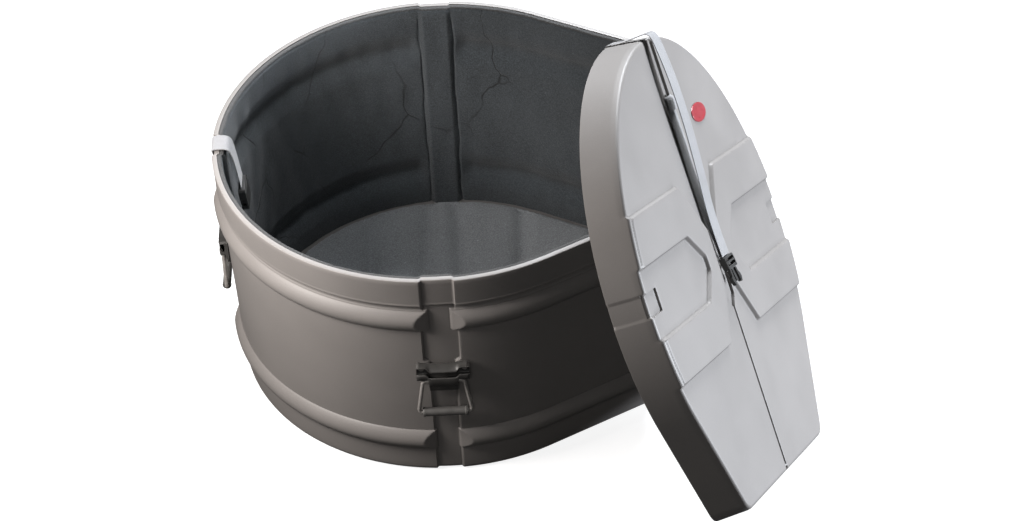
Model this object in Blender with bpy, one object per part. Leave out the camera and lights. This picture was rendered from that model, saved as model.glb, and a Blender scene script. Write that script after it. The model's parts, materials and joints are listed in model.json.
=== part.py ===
"""Padded D-shaped drum case: an open tub, and its lid leaning beside it.

World frame: metres, +Z up through the tub's mouth, origin at the centre of the round end's circle on
the tub's underside, -X towards the round end, +X towards the flat end where the lid leans.
Every outline is the same D: a circle, two straight sides that leave it at a tangent, rounded corners
and a flat end. Surfaces are rings of that D, each pushed in or out, joined from one level to the next.
"""
import math

import bmesh
import bpy
from mathutils import Matrix, Vector

# The D outline
ROUND_RADIUS = 0.380          # radius of the round end
FLAT_DISTANCE = 0.365         # from the circle's centre to the flat end
CORNER_HALF_WIDTH = 0.2326    # half width of the flat end before its corners are rounded
CORNER_RADIUS = 0.030
ARC_STEP = math.radians(7.5)

# Tub
TUB_HEIGHT = 0.444
TUB_DRAFT = 0.0148            # how much further in the wall stands at the bottom
WALL = 0.0045
RIM_ZONE = 0.055              # smooth band below the rim that the lid's skirt slides over
GROOVE = 0.003                # how far the wall steps in under the smooth band
RIB_BULGE = 0.012
RIB_TOPS = (0.376, 0.100)     # where the upper and the lower rib start
RIB_HEIGHT = 0.044
CHANNEL_HALF_WIDTH = 0.025    # the ribs stop at a channel in the front, back and both ends
CHANNEL_DEPTH = 0.004
FLOOR = 0.006
GAP = 0.0006                  # clearance between neighbouring pieces
LINING = 0.009
PAD = 0.016

# Lid, in its own frame: x from its round end to its foot, z out of its outer face, z = 0 at its open rim
LID_DEPTH = 0.063
LID_CLEARANCE = 0.0015        # between the skirt and the tub's smooth band
LID_WALL = 0.004
LID_FACE = 0.006
LID_DRAFT = 0.0065
PANEL_RISE = 0.004
LID_LEAN = math.radians(23.9)     # the outer face looks this far above the horizon
LID_TURN = math.radians(-8.9)     # and this far round from +X
LID_ROLL = math.radians(-29.8)    # the lid is rolled this far in its own plane
LID_CENTRE_XY = (0.4021, -0.3247)

# Webbing, handles and buckles
WEB_WIDTH = 0.038
WEB = 0.0016
HANDLE_PIVOT_Z = 0.228
BAIL_RADIUS = 0.0028
BAIL_STANDOFF = 0.0035        # gap between the bail's wire and the bracket's plate
BAIL_TOP = 0.068
BAIL_BOTTOM = 0.090
BAIL_DROP = 0.070
GRIP_RADIUS = 0.0075
BRACKET_WIDTH = 0.088
BRACKET_TOP = 0.036           # above and below the pivot
BRACKET_BOTTOM = -0.004
TONGUE_WIDTH = 0.050          # the plate's narrower lower part, behind the bail
TONGUE_BOTTOM = -0.029
BRACKET_PLATE = 0.004
HOUSING_WIDTH = 0.054
RIVET_RADIUS = 0.0022
RIVET_HEAD = 0.005

SIDES = {"front": math.radians(-90), "back": math.radians(90), "end": math.radians(180)}


# ---------------------------------------------------------------- scene, materials, objects

def clear_scene():
    for item in list(bpy.data.objects):
        bpy.data.objects.remove(item, do_unlink=True)


def material(name, colour, roughness, metallic=0.0):
    made = bpy.data.materials.new(name)
    made.use_nodes = True
    shader = made.node_tree.nodes["Principled BSDF"]
    shader.inputs["Base Color"].default_value = (*colour, 1.0)
    shader.inputs["Roughness"].default_value = roughness
    shader.inputs["Metallic"].default_value = metallic
    return made


def face_outwards(bm):
    """Makes every face of a closed shape point out."""
    bmesh.ops.recalc_face_normals(bm, faces=bm.faces)
    if bm.calc_volume(signed=True) < 0:
        bmesh.ops.reverse_faces(bm, faces=bm.faces)


def finish(bm, name, made_material, parent=None, sharp=30.0):
    """Turns a bmesh into a named object under parent."""
    face_outwards(bm)
    mesh = bpy.data.meshes.new(name)
    bm.to_mesh(mesh)
    bm.free()
    mesh.shade_smooth()
    mesh.set_sharp_from_angle(angle=math.radians(sharp))
    mesh.materials.append(made_material)
    made = bpy.data.objects.new(name, mesh)
    bpy.context.collection.objects.link(made)
    made.parent = parent
    return made


def empty(name, matrix, parent=None):
    made = bpy.data.objects.new(name, None)
    bpy.context.collection.objects.link(made)
    made.parent = parent
    made.matrix_basis = matrix
    return made


def cutter(bm, name, parent=None):
    """A closed shape that only takes part in Booleans."""
    face_outwards(bm)
    mesh = bpy.data.meshes.new(name)
    bm.to_mesh(mesh)
    bm.free()
    made = bpy.data.objects.new(name, mesh)
    bpy.context.collection.objects.link(made)
    made.parent = parent
    made.hide_render = True
    made.display_type = "WIRE"
    return made


def boolean(target, tool, operation):
    step = target.modifiers.new(tool.name, "BOOLEAN")
    step.object = tool
    step.operation = operation
    step.solver = "EXACT"


# ---------------------------------------------------------------- basic solids

def add_prism(bm, points, low, high):
    """A prism over a closed list of (x, y) points, from z = low to z = high."""
    bottom = [bm.verts.new((x, y, low)) for x, y in points]
    top = [bm.verts.new((x, y, high)) for x, y in points]
    bm.faces.new(list(reversed(bottom)))
    bm.faces.new(top)
    for i in range(len(points)):
        j = (i + 1) % len(points)
        bm.faces.new((bottom[i], bottom[j], top[j], top[i]))


def add_band(bm, first, second):
    """Triangles between two loops. Every diagonal rises towards the next point, whichever loop is
    lower, so two nested surfaces through the same levels are cut alike and keep their distance."""
    count = len(first)
    for i in range(count):
        j = (i + 1) % count
        if first[i].co.z <= second[i].co.z:
            bm.faces.new((first[i], first[j], second[j]))
            bm.faces.new((first[i], second[j], second[i]))
        else:
            bm.faces.new((first[i], first[j], second[i]))
            bm.faces.new((first[j], second[j], second[i]))


def add_rings(bm, rings, hollow=False):
    """Closed solid through rings of equally many points. The first and last ring are capped, or in a
    hollow solid joined to each other."""
    loops = [[bm.verts.new(p) for p in ring] for ring in rings]
    for first, second in zip(loops, loops[1:]):
        add_band(bm, first, second)
    if hollow:
        add_band(bm, loops[-1], loops[0])
    else:
        bm.faces.new(list(reversed(loops[0])))
        bm.faces.new(loops[-1])


def add_tube(bm, path, radius, sides=8, closed=False, up=Vector((0, 0, 1))):
    """A round bar along path; closed joins its ends into a loop."""
    count = len(path)
    loops = []
    for i, point in enumerate(path):
        before = path[(i - 1) % count] if closed or i else point
        after = path[(i + 1) % count] if closed or i < count - 1 else point
        along = (Vector(after) - Vector(before)).normalized()
        side = along.cross(up).normalized()
        other = side.cross(along)
        turn = [2 * math.pi * k / sides for k in range(sides)]
        loops.append([bm.verts.new(Vector(point) + radius * (math.cos(a) * side + math.sin(a) * other))
                      for a in turn])
    pairs = list(zip(loops, loops[1:])) + ([(loops[-1], loops[0])] if closed else [])
    for first, second in pairs:
        for k in range(sides):
            m = (k + 1) % sides
            bm.faces.new((first[k], first[m], second[m], second[k]))
    if not closed:
        bm.faces.new(list(reversed(loops[0])))
        bm.faces.new(loops[-1])


def add_ribbon(bm, path, width, thickness):
    """Flat webbing along path, a list of (x, z); its width runs along y."""
    half = thickness / 2
    rings = []
    for i, point in enumerate(path):
        before = Vector(path[max(i - 1, 0)])
        after = Vector(path[min(i + 1, len(path) - 1)])
        along = (after - before).normalized()
        normal = Vector((-along.y, along.x)) * half
        outer = Vector(point) + normal
        inner = Vector(point) - normal
        rings.append([(outer.x, -width / 2, outer.y), (outer.x, width / 2, outer.y),
                      (inner.x, width / 2, inner.y), (inner.x, -width / 2, inner.y)])
    add_rings(bm, rings)


def round_corners(points, radius, steps=3):
    """Replaces each corner of a closed (x, y) polygon by an arc."""
    rounded = []
    count = len(points)
    for i in range(count):
        here = Vector(points[i])
        back = (Vector(points[i - 1]) - here).normalized()
        ahead = (Vector(points[(i + 1) % count]) - here).normalized()
        half = back.angle(ahead) / 2
        reach = radius / math.tan(half)
        centre = here + (back + ahead).normalized() * radius / math.sin(half)
        start = here + back * reach - centre
        stop = here + ahead * reach - centre
        sweep = start.angle_signed(stop)
        for k in range(steps + 1):
            spoke = start.copy()
            spoke.rotate(Matrix.Rotation(-sweep * k / steps, 2))
            rounded.append(tuple(centre + spoke))
    return rounded


def box_points(half_x, half_y):
    return [(-half_x, -half_y), (half_x, -half_y), (half_x, half_y), (-half_x, half_y)]


# ---------------------------------------------------------------- the D outline

TANGENT = math.atan2(CORNER_HALF_WIDTH, FLAT_DISTANCE) + math.acos(
    ROUND_RADIUS / math.hypot(FLAT_DISTANCE, CORNER_HALF_WIDTH))
CORNER_CUT = CORNER_RADIUS * math.tan(TANGENT / 2)
ARC_LENGTH = ROUND_RADIUS * (math.pi - TANGENT)
SIDE_LENGTH = math.sqrt(FLAT_DISTANCE ** 2 + CORNER_HALF_WIDTH ** 2 - ROUND_RADIUS ** 2) - CORNER_CUT
CORNER_LENGTH = CORNER_RADIUS * TANGENT
FLAT_HALF = CORNER_HALF_WIDTH - CORNER_CUT
HALF_LENGTH = ARC_LENGTH + SIDE_LENGTH + CORNER_LENGTH + FLAT_HALF


def on_outline(distance):
    """Point and outward normal at a signed distance along the D from the middle of its round end."""
    side = -1.0 if distance < 0 else 1.0
    left = abs(distance)
    if left <= ARC_LENGTH:
        angle = math.pi - left / ROUND_RADIUS
        point = Vector((math.cos(angle), math.sin(angle))) * ROUND_RADIUS
        normal = Vector((math.cos(angle), math.sin(angle)))
    elif left <= ARC_LENGTH + SIDE_LENGTH:
        normal = Vector((math.cos(TANGENT), math.sin(TANGENT)))
        point = normal * ROUND_RADIUS + Vector((normal.y, -normal.x)) * (left - ARC_LENGTH)
    elif left <= HALF_LENGTH - FLAT_HALF:
        angle = TANGENT - (left - ARC_LENGTH - SIDE_LENGTH) / CORNER_RADIUS
        normal = Vector((math.cos(angle), math.sin(angle)))
        point = Vector((FLAT_DISTANCE - CORNER_RADIUS, FLAT_HALF)) + normal * CORNER_RADIUS
    else:
        normal = Vector((1.0, 0.0))
        point = Vector((FLAT_DISTANCE, HALF_LENGTH - left))
    return Vector((point.x, point.y * side)), Vector((normal.x, normal.y * side))


CHANNELS = (0.0, ROUND_RADIUS * math.pi / 2, HALF_LENGTH)


def ramp(value, low, high):
    return min(max((value - low) / (high - low), 0.0), 1.0)


def channel_distance(distance):
    return min(abs(abs(distance) - centre) for centre in CHANNELS)


def recess_share(distance):
    """1 inside a channel, 0 outside it."""
    return 1.0 - ramp(channel_distance(distance), CHANNEL_HALF_WIDTH, CHANNEL_HALF_WIDTH + 0.003)


def rib_share(distance):
    """0 inside a channel, 1 where a rib has its full height."""
    return ramp(channel_distance(distance), CHANNEL_HALF_WIDTH + 0.003, CHANNEL_HALF_WIDTH + 0.014)


def stations(channels=True):
    """Distances along the D at which each ring has a point."""
    half = {0.0, HALF_LENGTH}
    steps = round(ARC_LENGTH / (ROUND_RADIUS * ARC_STEP))
    half.update(ARC_LENGTH * k / steps for k in range(steps + 1))
    half.add(ARC_LENGTH + SIDE_LENGTH / 2)
    half.update(ARC_LENGTH + SIDE_LENGTH + CORNER_LENGTH * k / 4 for k in range(5))
    if channels:
        for centre in CHANNELS:
            near = [s for s in half if abs(s - centre) < CHANNEL_HALF_WIDTH + 0.016 and s != centre]
            half.difference_update(near)
            for reach in (0.0, 0.003, 0.014):
                for sign in (-1, 1):
                    place = centre + sign * (CHANNEL_HALF_WIDTH + reach)
                    if 0 < place < HALF_LENGTH:
                        half.add(place)
    right = sorted(half)
    left = [-s for s in reversed(right) if 0 < s < HALF_LENGTH]
    return right + left


def d_ring(distances, z, offset):
    """A ring at height z; offset is a number or a function of the distance along the D."""
    ring = []
    for distance in distances:
        point, normal = on_outline(distance)
        push = offset(distance) if callable(offset) else offset
        ring.append((point.x + normal.x * push, point.y + normal.y * push, z))
    return ring


# ---------------------------------------------------------------- tub

def draft(z):
    return -TUB_DRAFT * (1.0 - z / TUB_HEIGHT)


def rib_height(z):
    """Bulge of the two half-round ribs at height z."""
    bulge = 0.0
    for top in RIB_TOPS:
        place = (top - z) / RIB_HEIGHT
        if 0.0 < place < 1.0:
            bulge = RIB_BULGE * math.sin(math.pi * place) ** 0.8
    return bulge


def outer_offset(z, step=GROOVE):
    """Offset of the tub's outer surface at height z, as a function of the distance along the D."""
    def offset(distance):
        shape = draft(z) - step + rib_height(z) * rib_share(distance)
        return shape - CHANNEL_DEPTH * recess_share(distance)
    return offset


def inner_offset(z, depth):
    """The inner surfaces follow the ribs and channels, a fixed depth inside the outer one."""
    def offset(distance):
        bulge = 0.85 * rib_height(z) * rib_share(distance)
        return draft(z) - GROOVE + bulge - depth - CHANNEL_DEPTH * recess_share(distance)
    return offset


def rib_levels(top, shares):
    return [top - RIB_HEIGHT * share for share in shares]


def body_shell(plastic):
    """The tub: up the outside, over the rim, down the inside to the floor."""
    around = stations()
    upper, lower = RIB_TOPS
    rim_zone_low = TUB_HEIGHT - RIM_ZONE
    rings = [d_ring(around, 0.0, draft(0.0) - GROOVE - 0.012)]
    rings.append(d_ring(around, 0.004, lambda s: outer_offset(0.004)(s) - 0.003))
    rings.append(d_ring(around, 0.014, outer_offset(0.014)))
    for top in (lower, upper):
        for z in rib_levels(top, (1.0, 0.85, 0.65, 0.45, 0.25, 0.1, 0.0)):
            rings.append(d_ring(around, z, outer_offset(z)))
    rings.append(d_ring(around, rim_zone_low - 0.002, outer_offset(rim_zone_low - 0.002)))
    rings.append(d_ring(around, rim_zone_low, outer_offset(rim_zone_low, 0.0)))
    rings.append(d_ring(around, TUB_HEIGHT - 0.002, outer_offset(TUB_HEIGHT - 0.002, 0.0)))
    rings.append(d_ring(around, TUB_HEIGHT, lambda s: outer_offset(TUB_HEIGHT, 0.0)(s) - 0.002))
    rings.append(d_ring(around, TUB_HEIGHT, inner_offset(TUB_HEIGHT, WALL)))
    for top in (upper, lower):
        for z in rib_levels(top, (0.0, 0.2, 0.5, 0.8, 1.0)):
            rings.append(d_ring(around, z, inner_offset(z, WALL)))
    rings.append(d_ring(around, FLOOR, inner_offset(FLOOR, WALL)))
    bm = bmesh.new()
    add_rings(bm, rings)
    return finish(bm, "body_shell", plastic)


def body_wall_lining(fabric):
    """Foam-backed fabric against the whole inner wall, standing on the floor."""
    around = stations()
    near, far = WALL + GAP, WALL + GAP + LINING
    top = TUB_HEIGHT - 0.003
    heights = [FLOOR + GAP]
    for start in reversed(RIB_TOPS):
        heights += rib_levels(start, (1.0, 0.8, 0.5, 0.2, 0.0))
    heights.append(top)
    outer = [d_ring(around, z, inner_offset(z, near)) for z in heights]
    inner = [d_ring(around, z, inner_offset(z, far)) for z in reversed(heights)]
    bm = bmesh.new()
    add_rings(bm, outer + inner, hollow=True)
    return finish(bm, "body_wall_lining", fabric)


def body_floor_pad(fabric):
    around = stations(channels=False)
    inset = draft(0.0) - GROOVE - WALL - LINING - CHANNEL_DEPTH - 3 * GAP
    low, high = FLOOR + GAP, FLOOR + GAP + PAD
    rings = [d_ring(around, low, inset), d_ring(around, high - 0.004, inset),
             d_ring(around, high, inset - 0.004)]
    bm = bmesh.new()
    add_rings(bm, rings)
    return finish(bm, "body_floor_pad", fabric)


# ---------------------------------------------------------------- handles

def handle_matrix(angle):
    """Handle frame: x along the wall, y out of it, z up, origin on the bail's pivot axis."""
    reach = (ROUND_RADIUS + draft(HANDLE_PIVOT_Z) - GROOVE + BRACKET_PLATE + 0.0005 + BAIL_RADIUS
             + BAIL_STANDOFF)
    place = Vector((math.cos(angle) * reach, math.sin(angle) * reach, HANDLE_PIVOT_Z))
    return Matrix.Translation(place) @ Matrix.Rotation(angle - math.pi / 2, 4, "Z")


PLATE_FRONT = -(BAIL_RADIUS + BAIL_STANDOFF)
BRACKET_RIVETS = ((-0.036, 0.022), (0.036, 0.022))


def bracket_outline():
    """Wide upper plate with cut corners, narrow tongue below it; (x, z) in the handle's frame."""
    half, tongue = BRACKET_WIDTH / 2, TONGUE_WIDTH / 2
    right = [(tongue - 0.006, TONGUE_BOTTOM), (tongue, TONGUE_BOTTOM + 0.006), (tongue, BRACKET_BOTTOM),
             (half, BRACKET_BOTTOM), (half, BRACKET_TOP - 0.010), (half - 0.010, BRACKET_TOP)]
    return right + [(-x, z) for x, z in reversed(right)]


def bracket(side, frame, plastic):
    """Moulded plate with a housing that the bail's top bar turns in."""
    bm = bmesh.new()
    add_prism(bm, bracket_outline(), -PLATE_FRONT, -PLATE_FRONT + BRACKET_PLATE)
    bmesh.ops.rotate(bm, verts=bm.verts, matrix=Matrix.Rotation(math.pi / 2, 3, "X"))
    plate = finish(bm, f"handle_{side}_bracket", plastic, frame)

    bm = bmesh.new()
    half = HOUSING_WIDTH / 2
    profile = [(PLATE_FRONT - 0.001, -0.0075), (0.004, -0.0075), (0.0075, -0.004), (0.0075, 0.010),
               (0.003, 0.022), (PLATE_FRONT - 0.001, 0.024)]
    sections = [[(x, y, z) for y, z in profile] for x in (-half, half)]
    add_rings(bm, sections)
    boolean(plate, cutter(bm, f"cut_{side}_housing", frame), "UNION")

    bm = bmesh.new()
    ends = [Vector((-half - 0.01, 0, 0)), Vector((half + 0.01, 0, 0))]
    add_tube(bm, ends, BAIL_RADIUS + 0.0008, 12)
    boolean(plate, cutter(bm, f"cut_{side}_tunnel", frame), "DIFFERENCE")

    bm = bmesh.new()
    for x, z in BRACKET_RIVETS:
        ends = [Vector((x, PLATE_FRONT + 0.01, z)), Vector((x, PLATE_FRONT - 0.02, z))]
        add_tube(bm, ends, RIVET_RADIUS + 0.0004, 8)
    boolean(plate, cutter(bm, f"cut_{side}_rivet_holes", frame), "DIFFERENCE")
    return plate


def rivet(name, place, frame, metal, grip):
    """Domed head outside, shank through the pieces it holds; it points along -y of frame."""
    profile = [(RIVET_RADIUS, -grip), (RIVET_RADIUS, 0.0003), (RIVET_HEAD, 0.0003), (RIVET_HEAD, 0.0010),
               (RIVET_HEAD * 0.6, 0.0024)]
    sides = 10
    rings = [[(place[0] + radius * math.cos(2 * math.pi * k / sides), place[1] + y,
               place[2] + radius * math.sin(2 * math.pi * k / sides)) for k in range(sides)]
             for radius, y in profile]
    bm = bmesh.new()
    add_rings(bm, rings)
    return finish(bm, name, metal, frame)


def bail_path():
    """Rounded trapezoid in the handle's x-z plane, wider at the bottom bar."""
    corners = [(-BAIL_TOP / 2, 0.0), (BAIL_TOP / 2, 0.0), (BAIL_BOTTOM / 2, -BAIL_DROP),
               (-BAIL_BOTTOM / 2, -BAIL_DROP)]
    return [Vector((x, 0, z)) for x, z in round_corners(corners, 0.006, 3)]


def bail(side, frame, metal):
    bm = bmesh.new()
    add_tube(bm, bail_path(), BAIL_RADIUS, 8, closed=True, up=Vector((0, 1, 0)))
    return finish(bm, f"handle_{side}_bail", metal, frame)


def grip(side, frame, rubber):
    """Sleeve round the bail's bottom bar."""
    sides = 12
    half = BAIL_BOTTOM / 2 - 0.009
    inner = BAIL_RADIUS + 0.0005
    profile = [(-half, inner), (-half, GRIP_RADIUS - 0.001), (-half + 0.001, GRIP_RADIUS),
               (half - 0.001, GRIP_RADIUS), (half, GRIP_RADIUS - 0.001), (half, inner)]
    rings = [[(x, r * math.cos(2 * math.pi * k / sides), -BAIL_DROP + r * math.sin(2 * math.pi * k / sides))
              for k in range(sides)] for x, r in profile]
    bm = bmesh.new()
    add_rings(bm, rings, hollow=True)
    return finish(bm, f"handle_{side}_grip", rubber, frame)


def handle(side, angle, shell, plastic, metal, rubber):
    frame = empty(f"handle_{side}_axis", handle_matrix(angle))
    bracket(side, frame, plastic)
    bail(side, frame, metal)
    grip(side, frame, rubber)
    grip_depth = BRACKET_PLATE + 0.0055
    bm = bmesh.new()
    for number, (x, z) in enumerate(BRACKET_RIVETS, 1):
        rivet(f"handle_{side}_rivet_{number}", (x, PLATE_FRONT, z), frame, metal, grip_depth)
        ends = [Vector((x, PLATE_FRONT - 0.001, z)), Vector((x, PLATE_FRONT - 0.030, z))]
        add_tube(bm, ends, RIVET_RADIUS + 0.0004, 8)
    holes = cutter(bm, f"cut_shell_{side}_rivets", frame)
    boolean(shell, holes, "DIFFERENCE")


# ---------------------------------------------------------------- lid

def lid_matrix():
    """The lid stands on one foot corner, so its height follows from its lowest point."""
    lean, turn, roll = LID_LEAN, LID_TURN, LID_ROLL
    normal = Vector((math.cos(turn) * math.cos(lean), math.sin(turn) * math.cos(lean), math.sin(lean)))
    down = Vector((math.cos(turn) * math.sin(lean), math.sin(turn) * math.sin(lean), -math.cos(lean)))
    level = normal.cross(down)
    foot = math.cos(roll) * down + math.sin(roll) * level
    across = normal.cross(foot)
    turned = Matrix((foot, across, normal)).transposed()
    lowest = min((turned @ Vector(p)).z for p in d_ring(stations(), 0.0, LID_CLEARANCE + LID_WALL))
    place = Vector((*LID_CENTRE_XY, 0.0005 - lowest))
    return Matrix.Translation(place) @ turned.to_4x4()


def lid_half_width(u, inset):
    """How far the lid's face reaches sideways at u, less inset."""
    if u <= ROUND_RADIUS * math.cos(TANGENT):
        reach = math.sqrt(ROUND_RADIUS ** 2 - u ** 2)
    else:
        reach = (ROUND_RADIUS - u * math.cos(TANGENT)) / math.sin(TANGENT)
    return reach - inset


PANEL_INSET = 0.004
PANEL_U = (-0.145, 0.124)         # the raised panels' ends along the lid
PANEL_POINT_U = (-0.057, 0.040)   # where their inner edges come nearest to the centre line
POCKET_U = (-0.067, 0.045)
NOTCH_U = (-0.030, 0.007)


def panel_outline(side):
    steps = [PANEL_U[0] + (PANEL_U[1] - PANEL_U[0]) * k / 8 for k in range(9)]
    points = [(PANEL_U[0], 0.100), (PANEL_POINT_U[0], 0.026), (PANEL_POINT_U[1], 0.026), (PANEL_U[1], 0.088)]
    points += [(u, lid_half_width(u, PANEL_INSET)) for u in reversed(steps)]
    return [(u, v * side) for u, v in points]


def pocket_outline(side):
    low, high = POCKET_U
    points = [(low, 0.42), (low, 0.129), (-0.022, 0.072), (0.001, 0.072), (high, 0.122), (high, 0.42)]
    return [(u, v * side) for u, v in points]


def lid_shell(frame, plastic):
    """A deep pan with raised side panels, recessed pockets and a centre channel for the strap."""
    around = stations(channels=False)
    outer = LID_CLEARANCE + LID_WALL
    top = LID_DEPTH
    inside = top - LID_FACE

    def skirt(z):
        return outer - LID_DRAFT * z / LID_DEPTH

    rings = [d_ring(around, inside, skirt(inside) - LID_WALL), d_ring(around, 0.0, LID_CLEARANCE),
             d_ring(around, 0.0, outer), d_ring(around, top - 0.005, skirt(top - 0.005)),
             d_ring(around, top - 0.0015, skirt(top) - 0.0015), d_ring(around, top, skirt(top) - 0.005)]
    bm = bmesh.new()
    add_rings(bm, rings)
    shell = finish(bm, "lid_shell", plastic, frame)

    bm = bmesh.new()
    for side in (-1, 1):
        add_prism(bm, panel_outline(side), top - 0.002, top + PANEL_RISE)
    boolean(shell, cutter(bm, "cut_panels", frame), "UNION")

    bm = bmesh.new()
    for side in (-1, 1):
        add_prism(bm, pocket_outline(side), top + 0.0002, top + PANEL_RISE + 0.01)
    boolean(shell, cutter(bm, "cut_pockets", frame), "DIFFERENCE")

    bm = bmesh.new()
    for side in (-1, 1):
        points = [(NOTCH_U[0], 0.325), (NOTCH_U[1], 0.325), (NOTCH_U[1], 0.42), (NOTCH_U[0], 0.42)]
        add_prism(bm, [(u, v * side) for u, v in points], top - 0.0025, top + 0.02)
    add_prism(bm, [(-0.45, -0.021), (0.060, -0.021), (0.080, -0.003), (0.45, -0.003), (0.45, 0.003),
                   (0.080, 0.003), (0.060, 0.021), (-0.45, 0.021)], top - 0.0025, top + 0.02)
    boolean(shell, cutter(bm, "cut_channel_and_notches", frame), "DIFFERENCE")
    return shell


def lid_face_pad(frame, fabric):
    around = stations(channels=False)
    high = LID_DEPTH - LID_FACE - GAP
    rings = [d_ring(around, high, -0.022), d_ring(around, high - 0.007, -0.022),
             d_ring(around, high - 0.010, -0.025)]
    bm = bmesh.new()
    add_rings(bm, rings)
    return finish(bm, "lid_face_pad", fabric, frame)


BADGE_CENTRE = (-0.230, 0.131)
BADGE_HALF_SIZE = (0.016, 0.037)


def lid_badge(frame, enamel):
    """A plain badge with no mark on it."""
    bm = bmesh.new()
    points = round_corners(box_points(*BADGE_HALF_SIZE), 0.010, 4)
    placed = [(BADGE_CENTRE[0] + x, BADGE_CENTRE[1] + y) for x, y in points]
    add_prism(bm, placed, LID_DEPTH + 0.0003, LID_DEPTH + 0.0022)
    return finish(bm, "lid_badge", enamel, frame)


# ---------------------------------------------------------------- straps and buckles on the lid

ANCHOR_Z = 0.028                  # rivet's height inside the skirt
STRAP_CREST = (-0.3905, 0.0680)   # where the lid strap leaves the skirt: the strap's hinge
STRAP_PATH = [(-0.3800, 0.0760), (-0.3600, 0.0800), (-0.3300, 0.0830), (-0.2900, 0.0840),
              (-0.2400, 0.0840), (-0.1950, 0.0820), (-0.1420, 0.0785), (-0.0900, 0.0750),
              (-0.0500, 0.0745), (-0.0060, 0.0760)]
TAIL_PATH = [(-0.2750, 0.0640), (-0.2200, 0.0655), (-0.1500, 0.0650), (-0.0900, 0.0668),
             (-0.0500, 0.0700), (-0.0060, 0.0722)]


def from_hinge(path, hinge):
    return [(x - hinge[0], z - hinge[1]) for x, z in path]


def strap_anchor(name, frame, metal, pieces, grip_depth):
    """Riveted plate over a strap's end. Frame: y out of the webbing's outer side, z along the strap.
    The rivet's hole goes through pieces and the plate."""
    bm = bmesh.new()
    add_prism(bm, round_corners(box_points(0.017, 0.009), 0.003, 2), -0.0018, -0.0004)
    bmesh.ops.rotate(bm, verts=bm.verts, matrix=Matrix.Rotation(math.pi / 2, 3, "X"))
    plate = finish(bm, f"{name}_anchor_plate", metal, frame)
    bm = bmesh.new()
    add_tube(bm, [Vector((0, 0.010, 0)), Vector((0, 0.0012 - grip_depth, 0))], RIVET_RADIUS + 0.0004, 8)
    hole = cutter(bm, f"cut_{name}_rivet_hole", frame)
    for piece in (plate, *pieces):
        boolean(piece, hole, "DIFFERENCE")
    rivet(f"{name}_rivet", (0, 0.0018, 0), frame, metal, grip_depth)


def facing_round_end(x, z, tilt):
    """A frame on the round end whose y looks out, tilted up by tilt."""
    return (Matrix.Translation((x, 0, z)) @ Matrix.Rotation(math.pi / 2, 4, "Z")
            @ Matrix.Rotation(tilt, 4, "X"))


def skirt_x(z):
    """Outer surface of the lid's skirt at its round end."""
    return -(ROUND_RADIUS + LID_CLEARANCE + LID_WALL - LID_DRAFT * z / LID_DEPTH)


def lid_strap_anchor(frame, shell, webbing, metal):
    """The riveted end of the lid strap: from inside the skirt, round the open rim, up to the crest."""
    off = WEB / 2 + 0.0004
    flat_gap = 0.0014             # flat webbing stands this far off the middle of the curved skirt

    def inside_x(z):
        return skirt_x(z) + LID_WALL + off + flat_gap

    under = (skirt_x(0.0) + inside_x(0.0)) / 2
    path = [(inside_x(0.040), 0.040), (inside_x(0.003), 0.003), (inside_x(0.0) - 0.0006, -0.0009),
            (under - 0.0012, -0.0022), (skirt_x(0.0) - 0.0011, -0.0009), (skirt_x(0.003) - off, 0.003),
            (skirt_x(0.056) - off, 0.056), (STRAP_CREST[0], 0.0650)]
    bm = bmesh.new()
    add_ribbon(bm, path, WEB_WIDTH, WEB)
    strap = finish(bm, "lid_strap_anchor_end", webbing, frame)
    slope = math.atan2(LID_DRAFT, LID_DEPTH)
    held = empty("lid_strap_anchor_frame", Matrix.Translation((inside_x(ANCHOR_Z) + WEB / 2, 0, ANCHOR_Z))
                 @ Matrix.Rotation(-math.pi / 2, 4, "Z") @ Matrix.Rotation(-slope, 4, "X"), frame)
    strap_anchor("lid_strap", held, metal, (strap, shell), 0.0082)


BUCKLE_WIDTH = 0.046
BUCKLE_BODY = 0.022
BUCKLE_THICK = 0.010
BUCKLE_TILT = math.radians(8)     # the buckle's free end stands off the lid
PRONG_REACH = 0.024
WEB_SLOT = 0.0052                 # slots in both buckle halves that the webbing runs through
SOCKET_LENGTH = 0.044             # the receiving half
SOCKET_WIDTH = 0.048
SOCKET_THICK = 0.012


def male_buckle(frame, plastic):
    """Ladder body with a guide tongue; its two prongs are separate pieces. Frame: x to the prongs."""
    bm = bmesh.new()
    points = round_corners(box_points(BUCKLE_BODY / 2, BUCKLE_WIDTH / 2), 0.003, 2)
    add_prism(bm, [(x + BUCKLE_BODY / 2, y) for x, y in points], -BUCKLE_THICK / 2, BUCKLE_THICK / 2)
    body = finish(bm, "buckle_male_body", plastic, frame)
    bm = bmesh.new()
    add_prism(bm, [(x + BUCKLE_BODY + 0.010, y) for x, y in box_points(0.012, 0.004)], -0.002, 0.002)
    boolean(body, cutter(bm, "cut_tongue", frame), "UNION")
    bm = bmesh.new()
    for x in (0.0060, 0.0142):
        web_slot = box_points(WEB_SLOT / 2, WEB_WIDTH / 2 + 0.001)
        add_prism(bm, [(x + px, py) for px, py in web_slot], -BUCKLE_THICK, BUCKLE_THICK)
    boolean(body, cutter(bm, "cut_ladder", frame), "DIFFERENCE")
    for side, name in ((1, "left"), (-1, "right")):
        pivot = empty(f"buckle_prong_{name}_axis", Matrix.Translation(
            (BUCKLE_BODY + 0.001, side * (BUCKLE_WIDTH / 2 - 0.009), 0)), frame)
        outline = [(0.0, -0.003), (0.012, -0.0020), (PRONG_REACH, -0.0010), (PRONG_REACH + 0.002, 0.003),
                   (PRONG_REACH - 0.005, 0.0085), (0.013, 0.0085), (0.008, 0.0035), (0.0, 0.003)]
        bm = bmesh.new()
        add_prism(bm, [(x, y * side) for x, y in outline], -0.003, 0.003)
        finish(bm, f"buckle_prong_{name}", plastic, pivot)


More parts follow.
